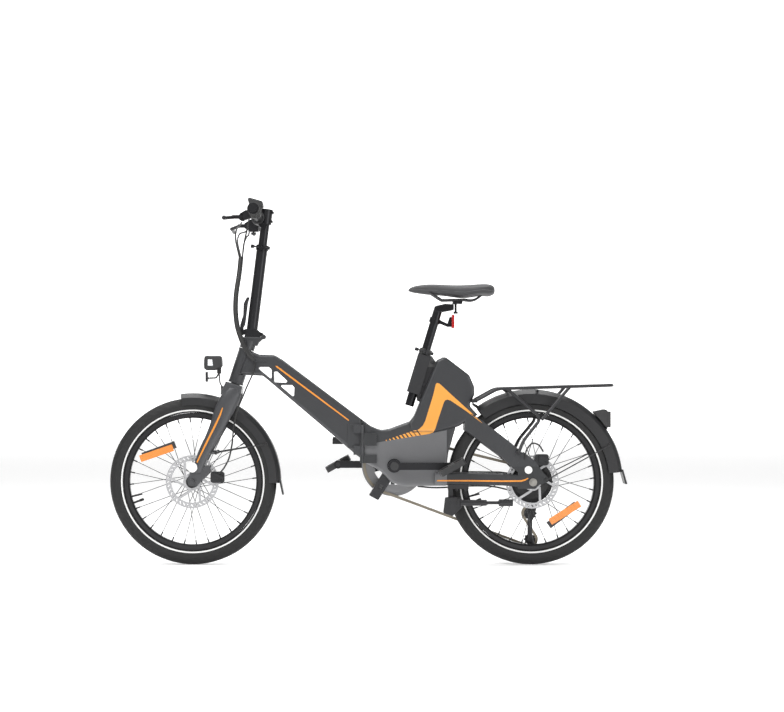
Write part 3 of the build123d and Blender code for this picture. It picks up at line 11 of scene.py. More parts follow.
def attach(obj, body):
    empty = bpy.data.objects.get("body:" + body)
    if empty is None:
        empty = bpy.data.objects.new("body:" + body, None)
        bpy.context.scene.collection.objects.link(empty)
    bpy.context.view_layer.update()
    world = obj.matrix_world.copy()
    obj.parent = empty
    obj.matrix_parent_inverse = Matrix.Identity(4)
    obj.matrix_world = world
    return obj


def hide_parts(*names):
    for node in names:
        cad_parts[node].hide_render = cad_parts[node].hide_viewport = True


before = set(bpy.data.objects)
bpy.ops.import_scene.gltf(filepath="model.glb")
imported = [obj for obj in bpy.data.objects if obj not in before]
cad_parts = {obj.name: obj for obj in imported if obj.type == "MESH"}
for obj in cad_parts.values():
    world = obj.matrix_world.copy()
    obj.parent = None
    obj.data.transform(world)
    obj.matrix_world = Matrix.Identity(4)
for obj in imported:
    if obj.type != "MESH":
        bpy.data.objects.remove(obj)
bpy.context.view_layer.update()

FRONT = Vector((-0.533, 0.0, 0.253))  # wheel centres
REAR = Vector((0.493, 0.0, 0.253))
BAR = Vector((-0.336, 0.0, 1.053))
ORANGE = (0.66, 0.235, 0.022)
PALE_ORANGE = (0.70, 0.30, 0.045)
WHITE = (0.78, 0.78, 0.77)


# ---- materials ----------------------------------------------------------------------------------
def math_node(tree, operation, a, b=None):
    node = tree.nodes.new("ShaderNodeMath")
    node.operation = operation
    for socket, value in zip(node.inputs, (a, b)):
        if value is None:
            continue
        if isinstance(value, (int, float)):
            socket.default_value = value
        else:
            tree.links.new(value, socket)
    return node.outputs[0]


def mix(tree, kind, factor, a, b):
    """Mix node for a colour or a number; a and b are sockets or constants."""
    node = tree.nodes.new("ShaderNodeMix")
    node.data_type = kind
    first, second, out = (6, 7, 2) if kind == "RGBA" else (2, 3, 0)
    for index, value in ((0, factor), (first, a), (second, b)):
        if isinstance(value, bpy.types.NodeSocket):
            tree.links.new(value, node.inputs[index])
        elif isinstance(value, tuple):
            node.inputs[index].default_value = (*value, 1.0)
        else:
            node.inputs[index].default_value = value
    return node.outputs[out]


def noise(tree, coords, scale, detail=3.0, stretch=None):
    if stretch:
        mapping = tree.nodes.new("ShaderNodeMapping")
        mapping.inputs["Scale"].default_value = stretch
        tree.links.new(coords, mapping.inputs["Vector"])
        coords = mapping.outputs["Vector"]
    node = tree.nodes.new("ShaderNodeTexNoise")
    node.inputs["Scale"].default_value = scale
    node.inputs["Detail"].default_value = detail
    tree.links.new(coords, node.inputs["Vector"])
    return node.outputs["Fac"]


def inside(tree, coords, low, high):
    """1 inside a box in the row frame, 0 outside."""
    centre = tuple((a + b) / 2 for a, b in zip(low, high))
    half = tuple((b - a) / 2 for a, b in zip(low, high))
    vector = coords
    for operation, value in (("SUBTRACT", centre), ("ABSOLUTE", None), ("SUBTRACT", half)):
        node = tree.nodes.new("ShaderNodeVectorMath")
        node.operation = operation
        tree.links.new(vector, node.inputs[0])
        if value:
            node.inputs[1].default_value = value
        vector = node.outputs[0]
    split = tree.nodes.new("ShaderNodeSeparateXYZ")
    tree.links.new(vector, split.inputs[0])
    widest = math_node(tree, "MAXIMUM", math_node(tree, "MAXIMUM", *split.outputs[:2]), split.outputs[2])
    return math_node(tree, "LESS_THAN", widest, 0.0)


def above(tree, coords, slope, level):
    """1 where z is over a line that rises by slope along X, 0 below it."""
    split = tree.nodes.new("ShaderNodeSeparateXYZ")
    tree.links.new(coords, split.inputs[0])
    line = math_node(tree, "MULTIPLY", split.outputs[0], slope)
    return math_node(tree, "GREATER_THAN", math_node(tree, "SUBTRACT", split.outputs[2], line), level)


def surface(name, colour, roughness=0.5, metallic=0.0, grain=900.0, bump=0.06, vary=0.12, wear=0.0, coat=0.0,
            brushed=None, zones=(), bevel=0.0, painted_shade_above_line=None):
    """Procedural finish: tone variation, fine grain, worn edges, boxes with a finish of their own (on the
    rear frame, boxes of painted shade), and painted shade above a slanting line.
    """
    material = bpy.data.materials.new(name)
    material.use_nodes = True
    tree = material.node_tree
    shader = tree.nodes["Principled BSDF"]
    coords = tree.nodes.new("ShaderNodeTexCoord").outputs["Object"]
    cloud = noise(tree, coords, 14.0)
    fine = noise(tree, coords, grain, 2.0, brushed)
    dark = tuple(c * (1 - vary) for c in colour)
    light = tuple(min(1.0, c * (1 + vary)) for c in colour)
    tone = mix(tree, "RGBA", cloud, dark, light)
    rough = mix(tree, "FLOAT", fine, max(0.05, roughness - 0.07), min(1.0, roughness + 0.07))
    metal = metallic
    # Painted shade: above a slanting line the colour turns to the darker shaded colour.
    if painted_shade_above_line:
        slope, level, shaded_colour = painted_shade_above_line
        tone = mix(tree, "RGBA", above(tree, coords, slope, level), tone, shaded_colour)
    # Boxes of their own colour: real markings on most parts, painted shade on the rear frame.
    for low, high, zone_colour, zone_rough, zone_metal in zones:
        mask = inside(tree, coords, low, high)
        patch = mix(tree, "RGBA", cloud, tuple(c * 0.9 for c in zone_colour), zone_colour)
        tone = mix(tree, "RGBA", mask, tone, patch)
        rough = mix(tree, "FLOAT", mask, rough, zone_rough)
        metal = mix(tree, "FLOAT", mask, metal, zone_metal)
    normal = None
    if bevel or wear:
        rounded = tree.nodes.new("ShaderNodeBevel")
        rounded.samples = 3
        rounded.inputs["Radius"].default_value = bevel or 0.0008
        normal = rounded.outputs["Normal"]
        if wear:
            geometry = tree.nodes.new("ShaderNodeNewGeometry")
            dot = tree.nodes.new("ShaderNodeVectorMath")
            dot.operation = "DOT_PRODUCT"
            tree.links.new(normal, dot.inputs[0])
            tree.links.new(geometry.outputs["Normal"], dot.inputs[1])
            edge = math_node(tree, "LESS_THAN", dot.outputs["Value"], 0.94)
            patchy = math_node(tree, "GREATER_THAN", noise(tree, coords, 60.0), 0.52)
            amount = math_node(tree, "MULTIPLY", math_node(tree, "MULTIPLY", edge, patchy), wear)
            tone = mix(tree, "RGBA", amount, tone, tuple(min(1.0, c * 2.2 + 0.03) for c in colour))
    relief = tree.nodes.new("ShaderNodeBump")
    relief.inputs["Strength"].default_value = bump
    relief.inputs["Distance"].default_value = 0.0005
    tree.links.new(fine, relief.inputs["Height"])
    if normal:
        tree.links.new(normal, relief.inputs["Normal"])
    tree.links.new(relief.outputs["Normal"], shader.inputs["Normal"])
    tree.links.new(tone, shader.inputs["Base Color"])
    tree.links.new(rough, shader.inputs["Roughness"])
    if isinstance(metal, bpy.types.NodeSocket):
        tree.links.new(metal, shader.inputs["Metallic"])
    else:
        shader.inputs["Metallic"].default_value = metal
    shader.inputs["Coat Weight"].default_value = coat
    shader.inputs["Coat Roughness"].default_value = 0.15
    return material


def lens_finish(name, colour, glow=0.0):
    """Moulded transparent plastic with a prism grid behind it, and a faint glow that is painted light."""
    material = surface(name, colour, 0.18, 0.0, 200.0, 0.02, 0.1, coat=0.6)
    tree = material.node_tree
    shader = tree.nodes["Principled BSDF"]
    checker = tree.nodes.new("ShaderNodeTexChecker")
    checker.inputs["Scale"].default_value = 330.0
    coords = tree.nodes.new("ShaderNodeTexCoord")
    tree.links.new(coords.outputs["Object"], checker.inputs["Vector"])
    checker.inputs["Color1"].default_value = (*colour, 1.0)
    checker.inputs["Color2"].default_value = (*(min(1.0, c * 1.35) for c in colour), 1.0)
    tree.links.new(checker.outputs["Color"], shader.inputs["Base Color"])
    # Painted light: the lens glows faintly in its own colour.
    shader.inputs["Emission Color"].default_value = (*colour, 1.0)
    shader.inputs["Emission Strength"].default_value = glow
    return material


def glowing(name, colour, strength):
    """Matt white surface that also glows, for the floor and the backdrop."""
    material = surface(name, colour, 0.9, 0.0, 5.0, 0.0, 0.01)
    shader = material.node_tree.nodes["Principled BSDF"]
    shader.inputs["Specular IOR Level"].default_value = 0.0
    shader.inputs["Emission Color"].default_value = (1.0, 1.0, 1.0, 1.0)
    shader.inputs["Emission Strength"].default_value = strength
    return material


def box_zone(low, high, colour, roughness=0.5, metallic=0.0):
    return low, high, colour, roughness, metallic


BOTH_SIDES = 9.0  # a half width past everything
# Painted light and shade: the rear frame is light grey where light falls on its side, and darker above a
# slanting line and in boxes where shade falls.
rear_frame_painted_light_and_shade = surface(
    "rear_frame_painted_light_and_shade", (0.125, 0.126, 0.131), 0.4, 0.35, 1500, 0.05, 0.1, 0.25, 0.25, bevel=0.0012,
    painted_shade_above_line=(0.178, 0.3665, (0.035, 0.036, 0.039)), zones=[
        box_zone((0.236, -BOTH_SIDES, 0.30), (0.60, BOTH_SIDES, 0.50), (0.040, 0.041, 0.044), 0.4, 0.4),
        box_zone((0.236, -BOTH_SIDES, 0.15), (0.60, BOTH_SIDES, 0.30), (0.028, 0.029, 0.031), 0.4, 0.4),
        box_zone((-0.03, -0.06, 0.28), (0.0265, -0.0345, 0.45), (0.03, 0.031, 0.033), 0.4, 0.4)])
front_paint = surface(
    "front_paint", (0.040, 0.041, 0.044), 0.36, 0.4, 1500, 0.05, 0.12, 0.25, 0.3, bevel=0.0012)
fork_paint = surface(
    "fork_paint", (0.055, 0.056, 0.060), 0.36, 0.4, 1500, 0.05, 0.12, 0.2, 0.3, bevel=0.001)
block_paint = surface(
    "block_paint", (0.022, 0.022, 0.024), 0.45, 0.3, 1500, 0.06, 0.12, 0.2, bevel=0.0008, zones=[
        box_zone((0.13, -0.017, 0.60), (0.215, 0.017, 0.66), (0.1, 0.1, 0.1), 0.4, 0.7)])
black_satin = surface(
    "black_satin", (0.017, 0.017, 0.019), 0.38, 0.25, 1800, 0.06, 0.15, 0.35, 0.1, bevel=0.0006)
black_anodised = surface(
    "black_anodised", (0.02, 0.02, 0.022), 0.32, 0.6, 2400, 0.05, 0.15, 0.4, bevel=0.0006)
black_plastic = surface(
    "black_plastic", (0.018, 0.018, 0.019), 0.55, 0.0, 1600, 0.18, 0.15, bevel=0.0006)
guard_plastic = surface("guard_plastic", (0.010, 0.010, 0.011), 0.38, 0.0, 1200, 0.1, 0.15, 0.0)
battery_plastic = surface(
    "battery_plastic", (0.045, 0.046, 0.05), 0.36, 0.1, 1500, 0.08, 0.12, 0.15, 0.2, bevel=0.001, zones=[
        box_zone((0.3015, -BOTH_SIDES, 0.495), (0.325, BOTH_SIDES, 0.575), (0.22, 0.22, 0.225), 0.4, 0.3)])
rubber = surface("rubber", (0.008, 0.008, 0.008), 0.72, 0.0, 700, 0.25, 0.2)
cable_rubber = surface("cable_rubber", (0.011, 0.011, 0.011), 0.5, 0.0, 900, 0.12, 0.15)
rim_black = surface("rim_black", (0.022, 0.022, 0.023), 0.3, 0.5, 1800, 0.04, 0.15, 0.2)
spoke_black = surface("spoke_black", (0.06, 0.06, 0.062), 0.3, 0.8, 1500, 0.04, 0.15)
steel = surface(
    "steel", (0.62, 0.62, 0.63), 0.3, 0.95, 420, 0.08, 0.08, brushed=(1, 9, 1), bevel=0.0003)
rotor_steel = surface(
    "rotor_steel", (0.42, 0.42, 0.43), 0.36, 0.6, 520, 0.1, 0.08, brushed=(1, 6, 1), bevel=0.0003)
cog_steel = surface("cog_steel", (0.3, 0.29, 0.27), 0.38, 0.9, 600, 0.1, 0.2, bevel=0.0003)
chain_steel = surface("chain_steel", (0.23, 0.205, 0.165), 0.36, 0.9, 900, 0.12, 0.3)
ring_alloy = surface("ring_alloy", (0.22, 0.22, 0.225), 0.36, 0.7, 700, 0.1, 0.1, bevel=0.0004)
white_plastic = surface("white_plastic", WHITE, 0.32, 0.0, 900, 0.03, 0.04, coat=0.3)
tyre_side = surface("tyre_side", (0.006, 0.006, 0.006), 0.7, 0.0, 900, 0.35, 0.2)
tyre_strip = surface("tyre_strip", (0.72, 0.72, 0.71), 0.45, 0.0, 1400, 0.08, 0.05)
orange_paint = surface("orange_paint", ORANGE, 0.38, 0.05, 1600, 0.03, 0.06, coat=0.3)
pale_orange_paint = surface("pale_orange_paint", PALE_ORANGE, 0.38, 0.05, 1600, 0.03, 0.05, coat=0.3)
# The faint glow given to each lens is painted light.
amber_lens = lens_finish("amber_lens", (0.58, 0.19, 0.03), 0.02)
red_lens = lens_finish("red_lens", (0.42, 0.012, 0.012), 0.03)
clear_lens = lens_finish("clear_lens", (0.7, 0.72, 0.74), 0.02)
saddle_vinyl = surface("saddle_vinyl", (0.032, 0.032, 0.034), 0.55, 0.0, 520, 0.55, 0.15)
seam_thread = surface("seam_thread", (0.07, 0.07, 0.072), 0.7, 0.0, 1500, 0.3, 0.1)
screen = surface("screen", (0.01, 0.012, 0.014), 0.12, 0.0, 300, 0.0, 0.1, coat=0.8)
seatpost_finish = surface(
    "seatpost_finish", (0.022, 0.022, 0.024), 0.25, 0.75, 1500, 0.04, 0.15, 0.1, bevel=0.0005, zones=[
        box_zone((0.2521, -0.03, 0.715), (0.27, 0.03, 0.7605), (0.35, 0.01, 0.01), 0.25, 0.0)])

NODE_FINISH = {
    rear_frame_painted_light_and_shade: "rear_frame",
    front_paint: "front_frame handlepost_base",
    fork_paint: "fork",
    block_paint: "seat_tube_block",
    battery_plastic: "battery_pack",
    black_satin: "underframe_brackets kickstand_leg lamp_bracket derailleur_mount derailleur_link "
                 "derailleur_cage rear_rack rear_brake_caliper front_brake_caliper saddle_rails "
                 "stem_latch_lever frame_latch_lever",
    black_anodised: "handlepost inner_post crank_arms crank_spindle bottom_bracket handlebar lever_mounts "
                    "post_qr_lever seat_qr_lever brake_lever_left brake_lever_right",
    black_plastic: "headlamp guide_pulley tension_pulley shifter_lever motor_controller display "
                   "pedal_left pedal_right tail_lamp",
    guard_plastic: "rear_mudguard front_mudguard",
    rim_black: "front_rim rear_rim front_hub rear_hub_motor",
    spoke_black: "front_spokes rear_spokes",
    rotor_steel: "front_rotor rear_rotor",
    cog_steel: "cassette rear_axle",
    ring_alloy: "chainring",
    chain_steel: "chain",
    seatpost_finish: "seatpost",
    rubber: "saddle",
    tyre_side: "front_tyre rear_tyre",
    cable_rubber: "rear_cables bar_cables front_brake_cable",
    steel: "battery_lock",
}
for finish, nodes in NODE_FINISH.items():
    for node in nodes.split():
        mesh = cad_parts[node].data
        mesh.materials.clear()
        mesh.materials.append(finish)


# ---- mesh helpers -------------------------------------------------------------------------------
def add_piece(name, bm, body, *materials, smooth=35.0, replaces=()):
    mesh = bpy.data.meshes.new(name)
    bmesh.ops.recalc_face_normals(bm, faces=bm.faces)
    bm.to_mesh(mesh)
    bm.free()
    for material in materials:
        mesh.materials.append(material)
    obj = bpy.data.objects.new(name, mesh)
    bpy.context.collection.objects.link(obj)
    if smooth:
        mesh.shade_smooth()
        mesh.set_sharp_from_angle(angle=math.radians(smooth))
    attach(obj, body)
    if replaces:
        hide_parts(*replaces)
    return obj


def slab(bm, corners, thickness):
    """Flat face through the corners, thickened by a vector."""
    face = bm.faces.new([bm.verts.new(corner) for corner in corners])
    raised = bmesh.ops.extrude_face_region(bm, geom=[face])["geom"]
    moved = [item for item in raised if isinstance(item, bmesh.types.BMVert)]
    bmesh.ops.translate(bm, verts=moved, vec=thickness)


def turned(bm, profile, centre, steps, closed=False):
    """Shape turned about the cross axis through centre, from (radius, height along +Y) points."""
    verts = [bm.verts.new(centre + Vector((radius, height, 0))) for radius, height in profile]
    following = verts[1:] + (verts[:1] if closed else [])
    edges = [bm.edges.new(pair) for pair in zip(verts, following)]
    bmesh.ops.spin(bm, geom=verts + edges, cent=centre, axis=(0, 1, 0), dvec=(0, 0, 0),
                   angle=2 * math.pi, steps=steps, use_merge=True)
    bmesh.ops.remove_doubles(bm, verts=bm.verts[:], dist=1e-7)


def domed_cap(bm, centre, radius, height):
    """Low domed cap that stands out of a left face."""
    shares = ((0.0, 0.0), (1.0, 0.0), (1.0, 0.55), (0.9, 0.85), (0.6, 1.0), (0.2, 1.02), (0.0, 1.02))
    turned(bm, [(radius * across, -height * up) for across, up in shares], centre, 40)


def bolt_head(bm, centre, radius, height):
    """Round bolt head on a left face, with a chamfered rim and a socket."""
    shares = ((0.0, 0.0), (1.0, 0.0), (1.0, 0.75), (0.86, 1.0), (0.5, 1.0), (0.45, 0.45), (0.0, 0.45))
    turned(bm, [(radius * across, -height * up) for across, up in shares], centre, 24)


def rod(bm, points, radius, sides):
    """Round rod through points, each section square to the path there."""
    normal = (points[1] - points[0]).orthogonal().normalized()
    edges = []
    for i, point in enumerate(points):
        onward = (points[min(i + 1, len(points) - 1)] - points[max(i - 1, 0)]).normalized()
        normal = (normal - onward * normal.dot(onward)).normalized()
        across = normal.cross(onward)
        place = Matrix((across, normal, onward)).transposed().to_4x4()
        place.translation = point
        ring = bmesh.ops.create_circle(bm, cap_ends=False, segments=sides, radius=radius, matrix=place)
        edges.append(list(dict.fromkeys(edge for vert in ring["verts"] for edge in vert.link_edges)))
    for first, second in zip(edges, edges[1:]):
        bmesh.ops.bridge_loops(bm, edges=first + second)
    for end in (edges[0], edges[-1]):
        bmesh.ops.edgeloop_fill(bm, edges=end)


# ---- tyres --------------------------------------------------------------------------------------
def tread_height(side, step):
    """Relief of the tread at a share of the section's width and a step round the tyre, 0 to 1."""
    across = abs(side)
    if across > 0.80:
        return 0.0
    if across < 0.10:
        return 1.0
    if across < 0.16 or 0.47 <= across < 0.53:
        return 0.0
    lean = int(across * 9)
    return 0.0 if (step + lean) % 4 == 0 else 1.0


def build_tyre(name, centre, body, node):
    """Road tyre: casing with blocks, shoulder ribs and a reflective strip on each wall."""
    steps, count = 240, 46
    bm = bmesh.new()
    rings = []
    section = [(math.radians(-142 + 284 * j / (count - 1)), j / (count - 1) * 2 - 1) for j in range(count)]
    for i in range(steps):
        turn = 2 * math.pi * i / steps
        ring = []
        for angle, share in section:
            relief = 0.0014 * tread_height(share * 1.3, i)
            radius = 0.0235 + relief
            r, y = 0.228 + radius * math.cos(angle), radius * math.sin(angle)
            ring.append(bm.verts.new(centre + Vector((r * math.cos(turn), y, r * math.sin(turn)))))
        for y in (0.0125, -0.0125):
            ring.append(bm.verts.new(centre + Vector((0.2085 * math.cos(turn), y, 0.2085 * math.sin(turn)))))
        rings.append(ring)
    total = count + 2
    for i in range(steps):
        a, b = rings[i], rings[(i + 1) % steps]
        for j in range(total):
            k = (j + 1) % total
            face = bm.faces.new((a[j], a[k], b[k], b[j]))
            middle = (Vector(face.verts[0].co) + Vector(face.verts[1].co)) / 2 - centre
            radius = math.hypot(middle.x, middle.z)
            on_strip = j < count - 1 and 0.2125 < radius < 0.2185 and abs(middle.y) > 0.015
            face.material_index = 1 if on_strip else 0
    return add_piece(name, bm, body, tyre_side, tyre_strip, smooth=40, replaces=(node,))


build_tyre("front_tyre_skin", FRONT, "front_wheel", "front_tyre")
build_tyre("rear_tyre_skin", REAR, "rear_wheel", "rear_tyre")


# ---- wheel details ------------------------------------------------------------------------------
def spoke_reflector(name, centre, body, angle, tilt):
    """Amber lens with prism bars, beside the spokes of a wheel."""
    bm = bmesh.new()
    turn = math.radians(angle)
    middle = centre + Vector((0.139 * math.cos(turn), -0.0222, 0.139 * math.sin(turn)))
    lean = Matrix.Rotation(math.radians(-tilt), 3, "Y")
    half_length, half_height = 0.0525, 0.0105
    corners = []
    for x, z in ((-1, -1), (1, -1), (1, 1), (-1, 1)):
        corner = middle + lean @ Vector((x * half_length, 0, z * half_height))
        corner.y = -0.0221
        corners.append(corner)
    slab(bm, corners, (0, -0.0012, 0))
    for i in (-4, -3, -2, -1, 1, 2, 3, 4):
        ends = [middle + lean @ Vector((0.0115 * i, -0.0012, side * 0.009)) for side in (-1, 1)]
        rod(bm, ends, 0.0006, 6)
    add_piece(name, bm, body, amber_lens)


def tyre_valve(name, centre, body):
    """Valve stem through the rim, with its wider cap and its tip."""
    angle = math.radians(200)
    outwards = Vector((math.cos(angle), 0, math.sin(angle)))
    foot, tip = centre + 0.193 * outwards, centre + 0.160 * outwards
    bm = bmesh.new()
    for start, end, radius in ((0.0, 0.6, 0.0032), (0.6, 0.95, 0.0042), (0.95, 1.0, 0.0028)):
        rod(bm, [foot.lerp(tip, start), foot.lerp(tip, end)], radius, 12)
    add_piece(name, bm, body, rubber)


def rotor_bolts(name, centre, body, y):
    """Six bolt heads on a rotor's carrier."""
    bm = bmesh.new()
    for i in range(6):
        angle = math.radians(60 * i + 15)
        place = Vector((0.0225 * math.cos(angle), y, 0.0225 * math.sin(angle)))
        bolt_head(bm, centre + place, 0.0032, 0.0018)
    add_piece(name, bm, body, steel)


for end, centre, angle, tilt in (("front", FRONT, 142, 19), ("rear", REAR, -43, 32)):
    spoke_reflector(f"{end}_reflector_lens", centre, f"{end}_wheel", angle, tilt)
    tyre_valve(f"{end}_valve", centre, f"{end}_wheel")
rotor_bolts("front_rotor_bolts", FRONT, "front_wheel", -0.0422)
rotor_bolts("rear_rotor_bolts", REAR, "rear_wheel", -0.0542)


# ---- painted graphics ---------------------------------------------------------------------------
SKINS = {}  # CAD node: its surface, for laying paint on it
PAINT_PROUD = 0.0004
PAINT_THICKNESS = 0.0006


def left_surface(node, x, z, fallback):
    """Y of the outermost left face of a CAD node at a side-view point."""
    if node not in SKINS:
        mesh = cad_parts[node].data
        places = [vert.co.copy() for vert in mesh.vertices]
        SKINS[node] = BVHTree.FromPolygons(places, [face.vertices[:] for face in mesh.polygons])
    hit = SKINS[node].ray_cast(Vector((x, -0.5, z)), Vector((0, 1, 0)))[0]
    return hit.y if hit and hit.y < -0.02 else fallback


def paint(name, outlines, node, body, material, fallback, cell=0.005):
    """Thin film of paint in side-view outlines, laid on the left face of a CAD node."""
    bm = bmesh.new()
    for outline in outlines:
        sheet = bmesh.new()
        sheet.faces.new([sheet.verts.new((x, 0, z)) for x, z in outline])
        low_x, high_x = min(x for x, z in outline), max(x for x, z in outline)
        low_z, high_z = min(z for x, z in outline), max(z for x, z in outline)
        for axis, low, high in ((Vector((1, 0, 0)), low_x, high_x), (Vector((0, 0, 1)), low_z, high_z)):
            for k in range(1, int((high - low) / cell) + 1):
                geometry = sheet.verts[:] + sheet.edges[:] + sheet.faces[:]
                bmesh.ops.bisect_plane(sheet, geom=geometry, plane_co=axis * (low + k * cell), plane_no=axis)
        bmesh.ops.triangulate(sheet, faces=sheet.faces[:])
        for vert in sheet.verts:
            vert.co.y = left_surface(node, vert.co.x, vert.co.z, fallback) - PAINT_PROUD
        backs = bmesh.ops.extrude_face_region(sheet, geom=sheet.faces[:])["geom"]
        moved = [item for item in backs if isinstance(item, bmesh.types.BMVert)]
        bmesh.ops.translate(sheet, verts=moved, vec=(0, PAINT_THICKNESS, 0))
        film = bpy.data.meshes.new("film")
        sheet.to_mesh(film)
        sheet.free()
        bm.from_mesh(film)
        bpy.data.meshes.remove(film)
    return add_piece(name, bm, body, material, smooth=30)


def band(path, widths):
    """Side-view outline of a line of varying width."""
    left, right = [], []
    for i, (x, z) in enumerate(path):
        a, b = Vector(path[max(i - 1, 0)]), Vector(path[min(i + 1, len(path) - 1)])
        along = (b - a).normalized()
        side = Vector((-along.y, along.x)) * widths[i] / 2
        left.append((x + side.x, z + side.y))
        right.append((x - side.x, z - side.y))
    return left + right[::-1]


front_tube_line = band(
    [(-0.281, 0.603), (-0.277, 0.600), (-0.167, 0.518), (-0.060, 0.438)],
    [0.002, 0.0048, 0.0048, 0.0035])
paint("front_tube_line", [front_tube_line], "front_frame", "front_half", orange_paint, -0.029)
fork_line = band(
    [(-0.440, 0.477), (-0.4475, 0.455), (-0.463, 0.422), (-0.491, 0.366), (-0.517, 0.312)],
    [0.003, 0.005, 0.0055, 0.0055, 0.004])
paint("fork_line", [fork_line], "fork", "fork_assembly", orange_paint, -0.06)
chainstay_line = band(
    [(0.206, 0.2565), (0.30, 0.2565), (0.403, 0.2565), (0.458, 0.2570), (0.470, 0.2605), (0.478, 0.2655)],
    [0.004, 0.0048, 0.0048, 0.0048, 0.0045, 0.003])
paint("chainstay_line", [chainstay_line], "rear_frame", "rear_half", orange_paint, -0.05)
mast_graphic = [
    (0.2065, 0.5515), (0.2025, 0.5475), (0.194, 0.512), (0.171, 0.437), (0.163, 0.422), (0.1515, 0.4115),
    (0.1475, 0.409), (0.1585, 0.3935), (0.185, 0.3975), (0.1945, 0.402), (0.201, 0.412), (0.207, 0.432),
    (0.2265, 0.491), (0.2305, 0.4985), (0.237, 0.5012), (0.247, 0.4985), (0.293, 0.4675), (0.344, 0.4285),
    (0.307, 0.4645), (0.252, 0.514), (0.214, 0.5495)]
paint("mast_graphic", [mast_graphic], "rear_frame", "rear_half", pale_orange_paint, -0.04)
slats = []
for i in range(9):
    right, share = 0.1435 - 0.0113 * i, 1 - 0.098 * i
    width, height = 0.0100 * share, 0.0155 * share
    top, foot = 0.4085 - 0.0036 * i, 0.3925 - 0.0020 * i
    slats.append([(right - width, top - 0.0015), (right, top), (right + 0.0115 * share, foot),
                  (right - width + 0.0115 * share, foot - 0.001)])
paint("fading_slats", slats, "rear_frame", "rear_half", pale_orange_paint, -0.034)

# ---- caps, bolts and lenses ---------------------------------------------------------------------
def cap(name, body, material, centre, radius, height):
    bm = bmesh.new()
    domed_cap(bm, Vector(centre), radius, height)
    add_piece(name, bm, body, material)


cap("fork_cap", "fork_assembly", white_plastic, (-0.531, -0.0623, 0.297), 0.015, 0.0045)
cap("dropout_cap", "rear_half", white_plastic, (0.479, -0.07455, 0.290), 0.0115, 0.0035)
cap("crank_bolt_cap", "crankset", black_plastic, (0.077, -0.0772, 0.301), 0.0125, 0.002)

bm = bmesh.new()
for z in (0.424, 0.434, 0.444, 0.454):
    rod(bm, [Vector((0.7342, -0.018, z)), Vector((0.7342, 0.018, z))], 0.0009, 8)
add_piece("tail_lens_ribs", bm, "rear_half", red_lens)

bm = bmesh.new()
window = [(-0.487, 0.6225), (-0.474, 0.6225), (-0.472, 0.604), (-0.487, 0.604)]
slab(bm, [(x, -0.02602, z) for x, z in window], (0, -0.0008, 0))
add_piece("lamp_side_window", bm, "headlamp", clear_lens, smooth=0)

bm = bmesh.new()
low_edge, high_edge = Vector((-0.3625, 0, 1.1122)), Vector((-0.3255, 0, 1.1022))
run = (high_edge - low_edge).normalized()
outwards = Vector((-run.z, 0, run.x))  # square to the display's face
sideways = Vector((0, 0.031, 0))
screen_corners = (low_edge - sideways, high_edge - sideways, high_edge + sideways, low_edge + sideways)
slab(bm, [corner + 0.0009 * outwards for corner in screen_corners], -0.0016 * outwards)
add_piece("display_screen", bm, "cockpit", screen, smooth=0)


# ---- grips --------------------------------------------------------------------------------------
def build_grip(side):
    """Ribbed rubber sleeve over the bar's end."""
    start, end = 0.1755, 0.2990
    profile = [(0.0165, start)]
    count = 26
    for i in range(count):
        y = start + 0.006 + (end - start - 0.012) * i / count
        step = (end - start - 0.012) / count
        profile += [(0.0172, y), (0.0180, y + step * 0.25)]
        profile += [(0.0180, y + step * 0.55), (0.0172, y + step * 0.8)]
    profile += [(0.0178, end - 0.004), (0.0165, end), (0.0155, end), (0.0155, start)]
    bm = bmesh.new()
    turned(bm, [(radius, side * y) for radius, y in profile], BAR, 40, closed=True)
    add_piece(f"grip_{'left' if side < 0 else 'right'}", bm, "cockpit", rubber, smooth=50)


build_grip(-1)
build_grip(1)


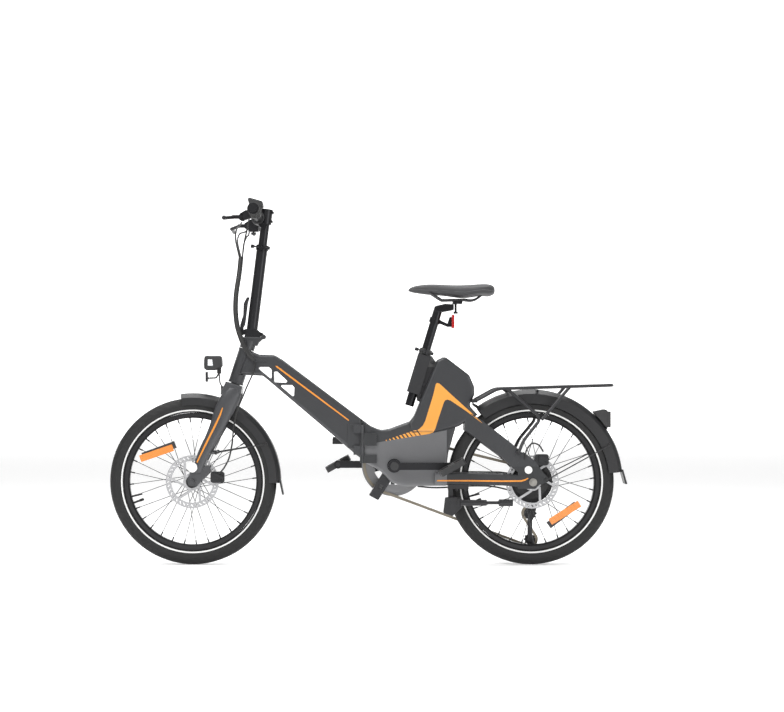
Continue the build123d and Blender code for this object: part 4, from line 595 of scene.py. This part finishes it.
# ---- saddle -------------------------------------------------------------------------------------
def build_saddle():
    """Padded saddle: cross-sections from nose to tail, with side seams and a channel along the middle."""
    plan = [(0.1203, 0.0135), (0.128, 0.0165), (0.150, 0.0195), (0.185, 0.0225), (0.215, 0.0265),
            (0.250, 0.037), (0.290, 0.0545), (0.320, 0.0675), (0.345, 0.0735), (0.365, 0.0705),
            (0.377, 0.058), (0.3825, 0.036)]
    top = [0.835, 0.8425, 0.849, 0.8525, 0.8515, 0.849, 0.8488, 0.8505, 0.852, 0.8515, 0.847, 0.840]
    low = [0.832, 0.827, 0.8235, 0.8185, 0.818, 0.8135, 0.808, 0.8135, 0.8175, 0.8135, 0.8185, 0.823]
    stations = [(x, half, high, base) for (x, half), high, base in zip(plan, top, low)]
    bm = bmesh.new()
    rings = []
    around = 36
    for x, half, high, base in stations:
        ring = []
        for k in range(around):
            t = 2 * math.pi * k / around
            c, s = math.cos(t), math.sin(t)
            y = half * math.copysign(abs(c) ** 0.72, c)
            rise = abs(s) ** (0.75 if s > 0 else 0.6)
            z = (high + base) / 2 + math.copysign(rise, s) * (high - base) / 2
            if s > 0 and abs(y) < 0.012:
                z -= 0.0022 * (1 - abs(y) / 0.012) ** 0.5 * min(1.0, max(0.0, (x - 0.17) / 0.05))
            ring.append(bm.verts.new((x, y, z)))
        rings.append(ring)
    for a, b in zip(rings, rings[1:]):
        for k in range(around):
            bm.faces.new((a[k], a[(k + 1) % around], b[(k + 1) % around], b[k]))
    bm.faces.new(rings[0][::-1])
    bm.faces.new(rings[-1])
    bmesh.ops.recalc_face_normals(bm, faces=bm.faces)
    obj = add_piece("saddle_cover", bm, "saddle_assembly", saddle_vinyl, smooth=0, replaces=("saddle",))
    modifier = obj.modifiers.new("round", "SUBSURF")
    modifier.levels = modifier.render_levels = 2
    bpy.context.view_layer.objects.active = obj
    bpy.context.view_layer.update()
    evaluated = obj.evaluated_get(bpy.context.evaluated_depsgraph_get())
    smooth = bpy.data.meshes.new_from_object(evaluated)
    obj.modifiers.clear()
    obj.data = smooth
    smooth.shade_smooth()
    for side in (-1, 1):
        seam = bmesh.new()
        points = []
        for x, half, high, base in stations[1:-1]:
            points.append(Vector((x, side * (half * 0.985), base + (high - base) * 0.42)))
        rod(seam, points, 0.0009, 8)
        add_piece(f"saddle_seam_{'left' if side < 0 else 'right'}", seam, "saddle_assembly", seam_thread)


build_saddle()

# ---- floor, light and camera --------------------------------------------------------------------
def stage_sheet(name, corners, material):
    """Flat sheet of the studio."""
    mesh = bpy.data.meshes.new(name)
    bm = bmesh.new()
    bm.faces.new([bm.verts.new(corner) for corner in corners])
    bm.to_mesh(mesh)
    bm.free()
    mesh.materials.append(material)
    sheet = bpy.data.objects.new(name, mesh)
    bpy.context.collection.objects.link(sheet)


stage_sheet("floor", ((-30, -30, 0), (30, -30, 0), (30, 30, 0), (-30, 30, 0)),
            glowing("studio_floor", (0.9, 0.9, 0.9), 0.22))
stage_sheet("backdrop", ((-22, 14, -0.4), (22, 14, -0.4), (22, 14, 16), (-22, 14, 16)),
            glowing("backdrop_white", (1.0, 1.0, 1.0), 1.0))

world = bpy.data.worlds.new("studio")
bpy.context.scene.world = world
world.use_nodes = True
background = world.node_tree.nodes["Background"]
background.inputs["Color"].default_value = (1.0, 1.0, 1.0, 1.0)
background.inputs["Strength"].default_value = 0.42


def area_light(name, place, target, size, power):
    light = bpy.data.lights.new(name, "AREA")
    light.shape = "RECTANGLE"
    light.size, light.size_y = size
    light.energy = power
    obj = bpy.data.objects.new(name, light)
    obj.location = place
    obj.rotation_euler = (Vector(target) - Vector(place)).to_track_quat("-Z", "Y").to_euler()
    bpy.context.collection.objects.link(obj)


area_light("key", (-1.6, -3.0, 3.2), (0, 0, 0.4), (2.4, 1.2), 120)
area_light("fill", (2.8, -3.0, 1.2), (0, 0, 0.4), (1.2, 2.2), 40)
area_light("top", (0.0, 0.3, 3.4), (0, 0, 0), (3.4, 1.6), 110)

camera_data = bpy.data.cameras.new("camera")
camera_data.lens = 83.0
camera_data.sensor_width = 36.0
camera_data.shift_x = 0.0597
camera_data.shift_y = 0.0434
camera = bpy.data.objects.new("camera", camera_data)
camera.location = (-0.071, -5.5, 0.530)
camera.rotation_euler = (math.radians(90), 0, 0)
bpy.context.collection.objects.link(camera)
bpy.context.scene.camera = camera
bpy.context.scene.view_settings.view_transform = "Standard"
